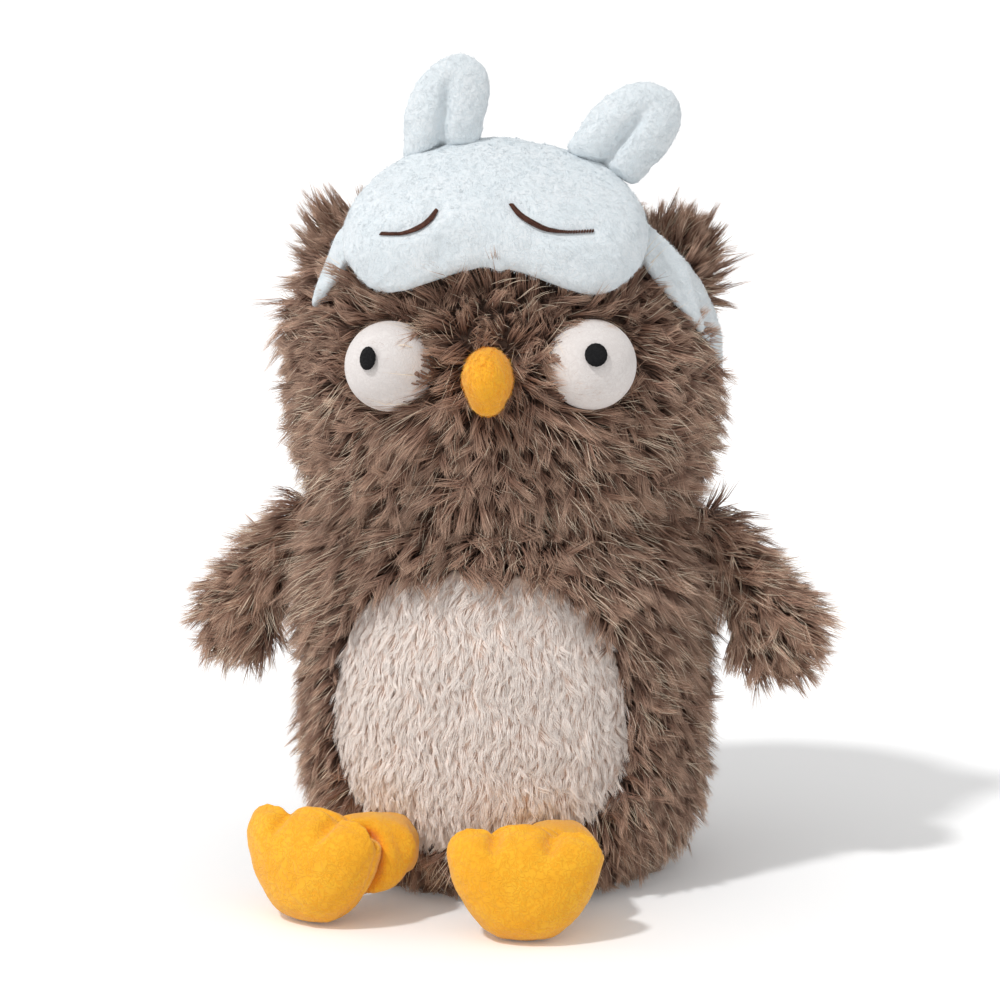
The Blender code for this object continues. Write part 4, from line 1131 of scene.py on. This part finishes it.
def spread_out(normals, low, high):
    """Normals whose upright part is held between two values, so fur there stands out sideways."""
    result = normals.copy()
    result[:, 2] = np.clip(result[:, 2], low, high)
    return unit(result)


# %% [markdown]
# ### The torso
#
# The fur is combed down and away from the belly, whose egg-shaped panel is left free for the cream
# pile. At the neck it stands out more, and closes the groove under the head.

# %% Torso
TORSO_DENSITY = 1.70e6        # strands a square metre


def rounded(value, power):
    return math.copysign(abs(value) ** (2 / power), value)


def belly_share(points, margin=0.0):
    """How far out points lie on the belly panel: 0 at its middle and 1 at its outline."""
    up = points[:, 2] - BELLY_WIDEST_HEIGHT
    span, power = np.where(up[:, None] > 0, BELLY_UPPER, BELLY_LOWER).T
    across = np.abs(points[:, 0] - BELLY_MIDDLE) / (BELLY_WIDTH / 2 - margin)
    return across ** power + np.abs(up / (span - margin)) ** power


def in_belly(points, margin):
    """Which points lie in front of the belly panel's outline, drawn in by a margin."""
    return (belly_share(points, margin) < 1) & (points[:, 1] < 0)


def belly_rise(points):
    """How far the belly panel swells out of the torso."""
    return (BELLY_SWELL * (1 - ramp(belly_share(points), 0.1, 1.0)))[:, None]


def near_axis(points):
    return polar(points)[0] < NECK_RADIUS


torso = backing("torso_backing", 1.0 * MM, "torso_stuffing")
dress(torso, "torso", BROWN_BACKING, ["torso_stuffing", "pellet_pouch"])
dress(copy_of_nodes("base", "base_panel"), "torso", BROWN_BACKING, ["base_panel"])

roots, normals = roots_on(torso, TORSO_DENSITY, 1)
keep = ~in_belly(roots, 1 * MM) & ~in_belly(roots - np.array((0, 0, 2 * MM)), 1 * MM)
keep &= (roots[:, 2] > 4 * MM) & (normals[:, 2] > -0.92)
keep &= ~((roots[:, 2] > NECK_HEIGHT - 4 * MM) & near_axis(roots))
roots, normals = roots[keep], normals[keep]
high = share(roots[:, 2], 85 * MM, 30 * MM)
shoulder = high * share(np.abs(roots[:, 0]), 45 * MM, 20 * MM)
lay = np.zeros_like(roots)
lay[:, 0] = roots[:, 0] / TORSO_WIDTH * (0.9 + 2.6 * shoulder)
lay[:, 2] = -1
add_fur("torso", "torso", ("torso_front_skin", "torso_back_skin"), roots,
        spread_out(normals, -1, 0.45), lay, 100, quarters(roots),
        FUR_LENGTH * (1 + 0.25 * high + 0.5 * shoulder))
print("torso strands:", len(roots))

# %% [markdown]
# ### The belly
#
# The belly's pile is half as long, cream, and lies in small curved locks that point down. Its cloth is
# cut out of a swollen copy of the torso's.

# %% Belly
BELLY_DENSITY = 3.3e6
BELLY_LENGTH = 7.0 * MM
BELLY_STRAND_WIDTH = 0.48 * MM
belly = shown(torso.copy())
belly.data = torso.data.copy()
belly.name = "belly_backing"
points = points_of(belly)
set_points(belly, points + normals_of(belly) * (1.5 * MM + belly_rise(points)))
loop = []
for step in range(64):
    angle = step / 64 * math.tau
    span, power = BELLY_UPPER if angle < math.pi else BELLY_LOWER
    loop.append(Vector((BELLY_MIDDLE + BELLY_WIDTH / 2 * rounded(math.cos(angle), power),
                        BELLY_WIDEST_HEIGHT + span * rounded(math.sin(angle), power))))
cutter = slab("belly_outline", loop, 30 * MM, TORSO_DEPTH)
cutter.data.transform(Matrix.Rotation(math.pi / 2, 4, "X"))
applied(modified(belly, "BOOLEAN", operation="INTERSECT", object=cutter))
bpy.data.objects.remove(cutter)
dress(belly, "torso", CREAM_BACKING)

roots, normals = roots_on(torso, BELLY_DENSITY, 2)
keep = in_belly(roots, 1 * MM)
roots, normals = roots[keep], normals[keep]
roots += normals * (1.2 * MM + belly_rise(roots))
lay = np.zeros_like(roots)
lay[:, 0] = np.sin(roots[:, 2] * 260 + roots[:, 0] * 90) * 0.3
lay[:, 2] = -1
pile = grow("belly_pile", PILE_STRAND, roots, normals, lay, BELLY_LENGTH, BELLY_STRAND_WIDTH,
            tones_for(len(roots), 4, 0.0), 5, stand=(40, 0), stray=(9, 15), lock=11, pull=0.75,
            curl=0.12)
dress(pile, "torso", CREAM_PILE, ["belly_panel"])
print("belly strands:", len(roots))

# %% [markdown]
# ### The head
#
# The head's fur radiates from the beak over the cheeks and the crown and hangs over the neck. Beside
# the eyes it lies away from them, but between them it laps over their inner sides. Under the mask and
# the strap it is bare, apart from short fur that a tilted mask would show.

# %% Places on the head
def middle_of(node):
    low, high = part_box(node)
    return np.array(low + high) / 2


EYE_DROP = {"left": 1.6 * MM, "right": 0.0}
EYE_IN = {"left": 1.8 * MM, "right": 2.4 * MM}
EYES = {side: UNTURN @ middle_of(f"eye_{side}")
        - np.array((SIDES[side] * EYE_IN[side], 0, EYE_DROP[side])) for side in SIDES}
BEAK = UNTURN @ middle_of("beak")
INNER_FUR = {"left": 1.25, "right": 1.0}     # how much longer it is between the eyes


def mask_edge_gap(points):
    """How far points on the head lie outside the mask's outline."""
    far, angle = polar(mask_spot(points))
    return far - reach_at(mask_outline(72), angle)


def strap_hidden(spots):
    """Where fur hangs over the strap: beside the left eye."""
    height = strap_height(spots)
    return (spots[:, 0] < 0) & (spots[:, 1] < 8 * MM) & (height < 227 * MM) & (height > 190 * MM)


# %% Head
HEAD_DENSITY = 1.70e6
STRAP_PARTING = (-12 * MM, 14 * MM)    # where no long fur grows, below and above the strap
TUCKED_LENGTH = 9 * MM
TUCKED_WIDTH = 1.1 * MM
head = backing("head_backing", 2.5 * MM, "head_stuffing")
dress(head, "head", BROWN_BACKING, ["head_stuffing"])

roots, normals = roots_on(head, HEAD_DENSITY, 11)
spots = roots @ UNTURN.T
eye_gap = np.min([np.linalg.norm(spots - eye, axis=1) for eye in EYES.values()], axis=0)
edge_gap = mask_edge_gap(roots)
lower = mask_spot(roots)[:, 1] < 0
over_strap = spots[:, 2] - strap_height(spots)
under_mask = lower & (edge_gap <= 1 * MM) & (edge_gap > -10 * MM)
under_strap = ((over_strap > STRAP_PARTING[0]) & (over_strap < STRAP_PARTING[1])
               & ~strap_hidden(spots) & (edge_gap > -3 * MM))
every_other = np.arange(len(roots)) % 2 == 0
tucked = (under_mask | (under_strap & every_other)) & (eye_gap > EYE_RADIUS)
tucked_roots, tucked_normals = roots[tucked], normals[tucked]
keep = (eye_gap > EYE_RADIUS) & (edge_gap > np.where(lower, 1 * MM, -3 * MM)) & ~under_strap
keep &= ~((spots[:, 2] < NECK_HEIGHT + 4 * MM) & near_axis(spots))
roots, normals, spots, over_strap, edge_gap, lower = (
    part[keep] for part in (roots, normals, spots, over_strap, edge_gap, lower))
lay = unit(spots - np.array((0, -HEAD_DEPTH / 2, BEAK[2]))) + np.array((0, 0, -0.4))
inner = np.zeros(len(roots))
for side, eye in EYES.items():
    away = spots - eye
    outer = np.clip(away[:, 0] * np.sign(eye[0]) / (8 * MM) + 0.9, 0, 1)
    near = hump(np.linalg.norm(away, axis=1) - EYE_RADIUS, 9 * MM)
    inner += near * (1 - outer) * INNER_FUR[side]
    near *= outer * 0.6
    lay = lay * (1 - near[:, None]) + unit(away) * near[:, None]
hidden = strap_hidden(spots)
above = np.exp(-np.maximum(over_strap - 6 * MM, 0) / (12 * MM)) * (over_strap > 0)
below = np.exp(np.minimum(over_strap + 8 * MM, 0) / (9 * MM)) * (over_strap < 0) * ~hidden
lay[:, 2] += above * np.where(hidden, -0.4, 1.2) - 1.6 * below

# between the mask and the beak it is short and stands up, and at the mask's edge it laps over it
brow = ramp(spots[:, 2], BEAK[2] + 2 * MM, BEAK[2] + 14 * MM) * ramp(-spots[:, 1], 20 * MM, 40 * MM)
lay[:, 0] += brow * 0.9 * np.sin(spots[:, 0] * 400 + spots[:, 2] * 260)
lay[:, 2] += brow * 0.9 * np.cos(spots[:, 0] * 310 - spots[:, 2] * 430)
fringe = ramp(-edge_gap, -9 * MM, -1 * MM) * lower
lay += fringe[:, None] * np.array((0, 0, 0.9))
balls = [(eye @ UNTURN, EYE_RADIUS + 0.5 * MM) for eye in EYES.values()]
low = share(-roots[:, 2], -165 * MM, 25 * MM)
add_fur("head", "head", ("head_front_skin", "head_back_skin"), roots,
        spread_out(normals, -0.25, 1), lay @ UNTURN, 200, quarters(roots),
        FUR_LENGTH * (1 + 0.55 * low + 0.5 * inner + 0.6 * above * hidden + 0.4 * fringe
                      - 0.3 * brow * (1 - fringe)),
        np.maximum(0.7 * brow, fringe), shun=balls)

# short fur that lies flat under the mask's lower edge and under the strap
tucked = grow("head_fur_under_mask", LOCK_STRAND, tucked_roots, tucked_normals, np.array((0, 0, -1)),
              TUCKED_LENGTH, TUCKED_WIDTH, tones_for(len(tucked_roots), 260, 0.0), 261,
              stand=(46, -12), stray=(10, 20), lock=15, pull=0.6, curl=0.1)
dress(tucked, "head", BROWN_PILE)
print("head strands:", len(roots) + len(tucked_roots))

# %% Ear tufts
TUFT_SHIFT = {"left": (-12 * MM, 0, 13 * MM), "right": (6 * MM, 0, 16 * MM)}
TUFT_CORE = (0.5, 0.5, 0.6)   # of the CAD tuft's size, because the rest is fur
TUFT_DENSITY = 6.5e6
TUFT_LENGTH = 14.5 * MM

for side, sign in SIDES.items():
    node = f"ear_tuft_{side}"
    tuft = remeshed(copy_of_nodes(f"ear_backing_{side}", node), 2 * MM, 3)
    points = points_of(tuft) - middle_of(node)
    middle = middle_of(node) - np.array(TUFT_SHIFT[side])
    set_points(tuft, middle + points * np.array(TUFT_CORE))
    dress(tuft, "head", BROWN_BACKING)
    roots, normals = roots_on(tuft, TUFT_DENSITY, 300 + sign)
    foot = middle - np.array((sign * 16 * MM, 0, 22 * MM))
    uneven = np.random.default_rng(320 + sign).uniform(0.65, 1.35, len(roots))
    add_fur(f"ear_{side}", "head", [node], roots, normals, unit(roots - foot), 310 + sign,
            whole(roots), TUFT_LENGTH * uneven, stand=(66, 38), stray=(8, 18), lock=24, pull=0.9,
            curl=0.1)

# %% Wings
WING_REACH = {"left": 41.5, "right": 45.5}      # mm, from where a wing begins
WING_START = 69
WING_DENSITY = 3.4e6
WING_LENGTH = 15 * MM

for side, sign in SIDES.items():
    *skins, stuffing = [f"wing_{part}_{side}" for part in ("front", "back", "stuffing")]
    wing = remeshed(copy_of_nodes(f"wing_backing_{side}", stuffing), 2 * MM, 4)
    dress(wing, f"{side}_wing", BROWN_BACKING, [stuffing])
    points = points_of(wing)
    reach = (np.abs(points[:, 0]) - 78.5 * MM) / (36 * MM)
    tall = (points[:, 2] - points[:, 2].min()) / np.ptp(points[:, 2])
    points[:, 0] = sign * (WING_START + WING_REACH[side] * reach) * MM
    points[:, 2] += tall * (14 - 19 * reach) * MM
    set_points(wing, points)
    roots, normals = roots_on(wing, WING_DENSITY, 400 + sign)
    keep = normals[:, 0] * sign > -0.5
    roots, normals = roots[keep], normals[keep]
    high = share(roots[:, 2], 105 * MM, 20 * MM)
    # painted light: the wings' locks get a paler tone because the wings face the lamp
    add_fur(f"wing_{side}", f"{side}_wing", skins, roots, normals, (sign * 0.62, 0, -0.78),
            410 + sign, whole(roots), WING_LENGTH * (1 + 0.15 * high), tone=41)
print("wings and ears grown")

# %% [markdown]
# ### Eyes and beak
#
# The eyes are stuffed balls of white velour, each with an embroidered pupil. The beak is a small orange
# cushion with a fuzzy pile.

# %% Eyes
PUPIL_TURN = {"left": math.radians(-2), "right": math.radians(4)}
PUPIL_DROP = {"left": math.radians(3), "right": 0.0}
PUPIL_WIDTH = {"left": 0.75, "right": 0.95}

for side in SIDES:
    middle = EYES[side] @ UNTURN
    form = bmesh.new()
    bmesh.ops.create_icosphere(form, subdivisions=5, radius=EYE_RADIUS - 0.5 * MM)
    bmesh.ops.translate(form, vec=middle, verts=form.verts)
    eye = piece_from(f"eye_ball_{side}", form)
    dress(eye, "head", WHITE_VELOUR, [f"eye_{side}"])
    pupil = copy_of_nodes(f"pupil_patch_{side}", f"pupil_{side}")
    aim = Matrix.Rotation(PUPIL_TURN[side], 4, "Z") @ Matrix.Rotation(PUPIL_DROP[side], 4, "X")
    points = points_of(pupil)
    points[:, 0] = points[:, 0].mean() + (points[:, 0] - points[:, 0].mean()) * PUPIL_WIDTH[side]
    set_points(pupil, points)
    pupil.data.transform(Matrix.Translation(middle) @ aim
                         @ Matrix.Translation(-Vector(middle_of(f"eye_{side}"))))
    dress(pupil, "head", BLACK_THREAD, [f"pupil_{side}"])

# %% Beak
BEAK_SIZE = (18 * MM, 25 * MM, 24 * MM)
BEAK_TAPER = (0.45, 0.3)      # across and from front to back, down to the blunt tip
form = bmesh.new()
bmesh.ops.create_icosphere(form, subdivisions=4, radius=0.5)
for vertex in form.verts:
    lower = max(0.0, -vertex.co.z)
    for axis, taper in enumerate(BEAK_TAPER):
        vertex.co[axis] *= 1 - taper * lower + 1.6 * max(0.0, lower - 0.32)
bmesh.ops.scale(form, vec=BEAK_SIZE, verts=form.verts)
bmesh.ops.translate(form, vec=BEAK, verts=form.verts)
beak = turned_with_head(piece_from("beak_velour", form))
ruffled(finer(beak), (5 * MM, 0.4 * MM), (1.6 * MM, 0.14 * MM))
dress(beak, "head", ORANGE_VELOUR, ["beak"])
fuzz("beak_pile", beak, "head", "orange_velour", ORANGE_PILE, (0, -0.3, -1), 51, density=2.5e6,
     width=0.20 * MM, stand=(40, 12), stray=(20, 20), pull=0.3)

# %% Finish
for strand in STRANDS:
    bpy.data.objects.remove(strand)
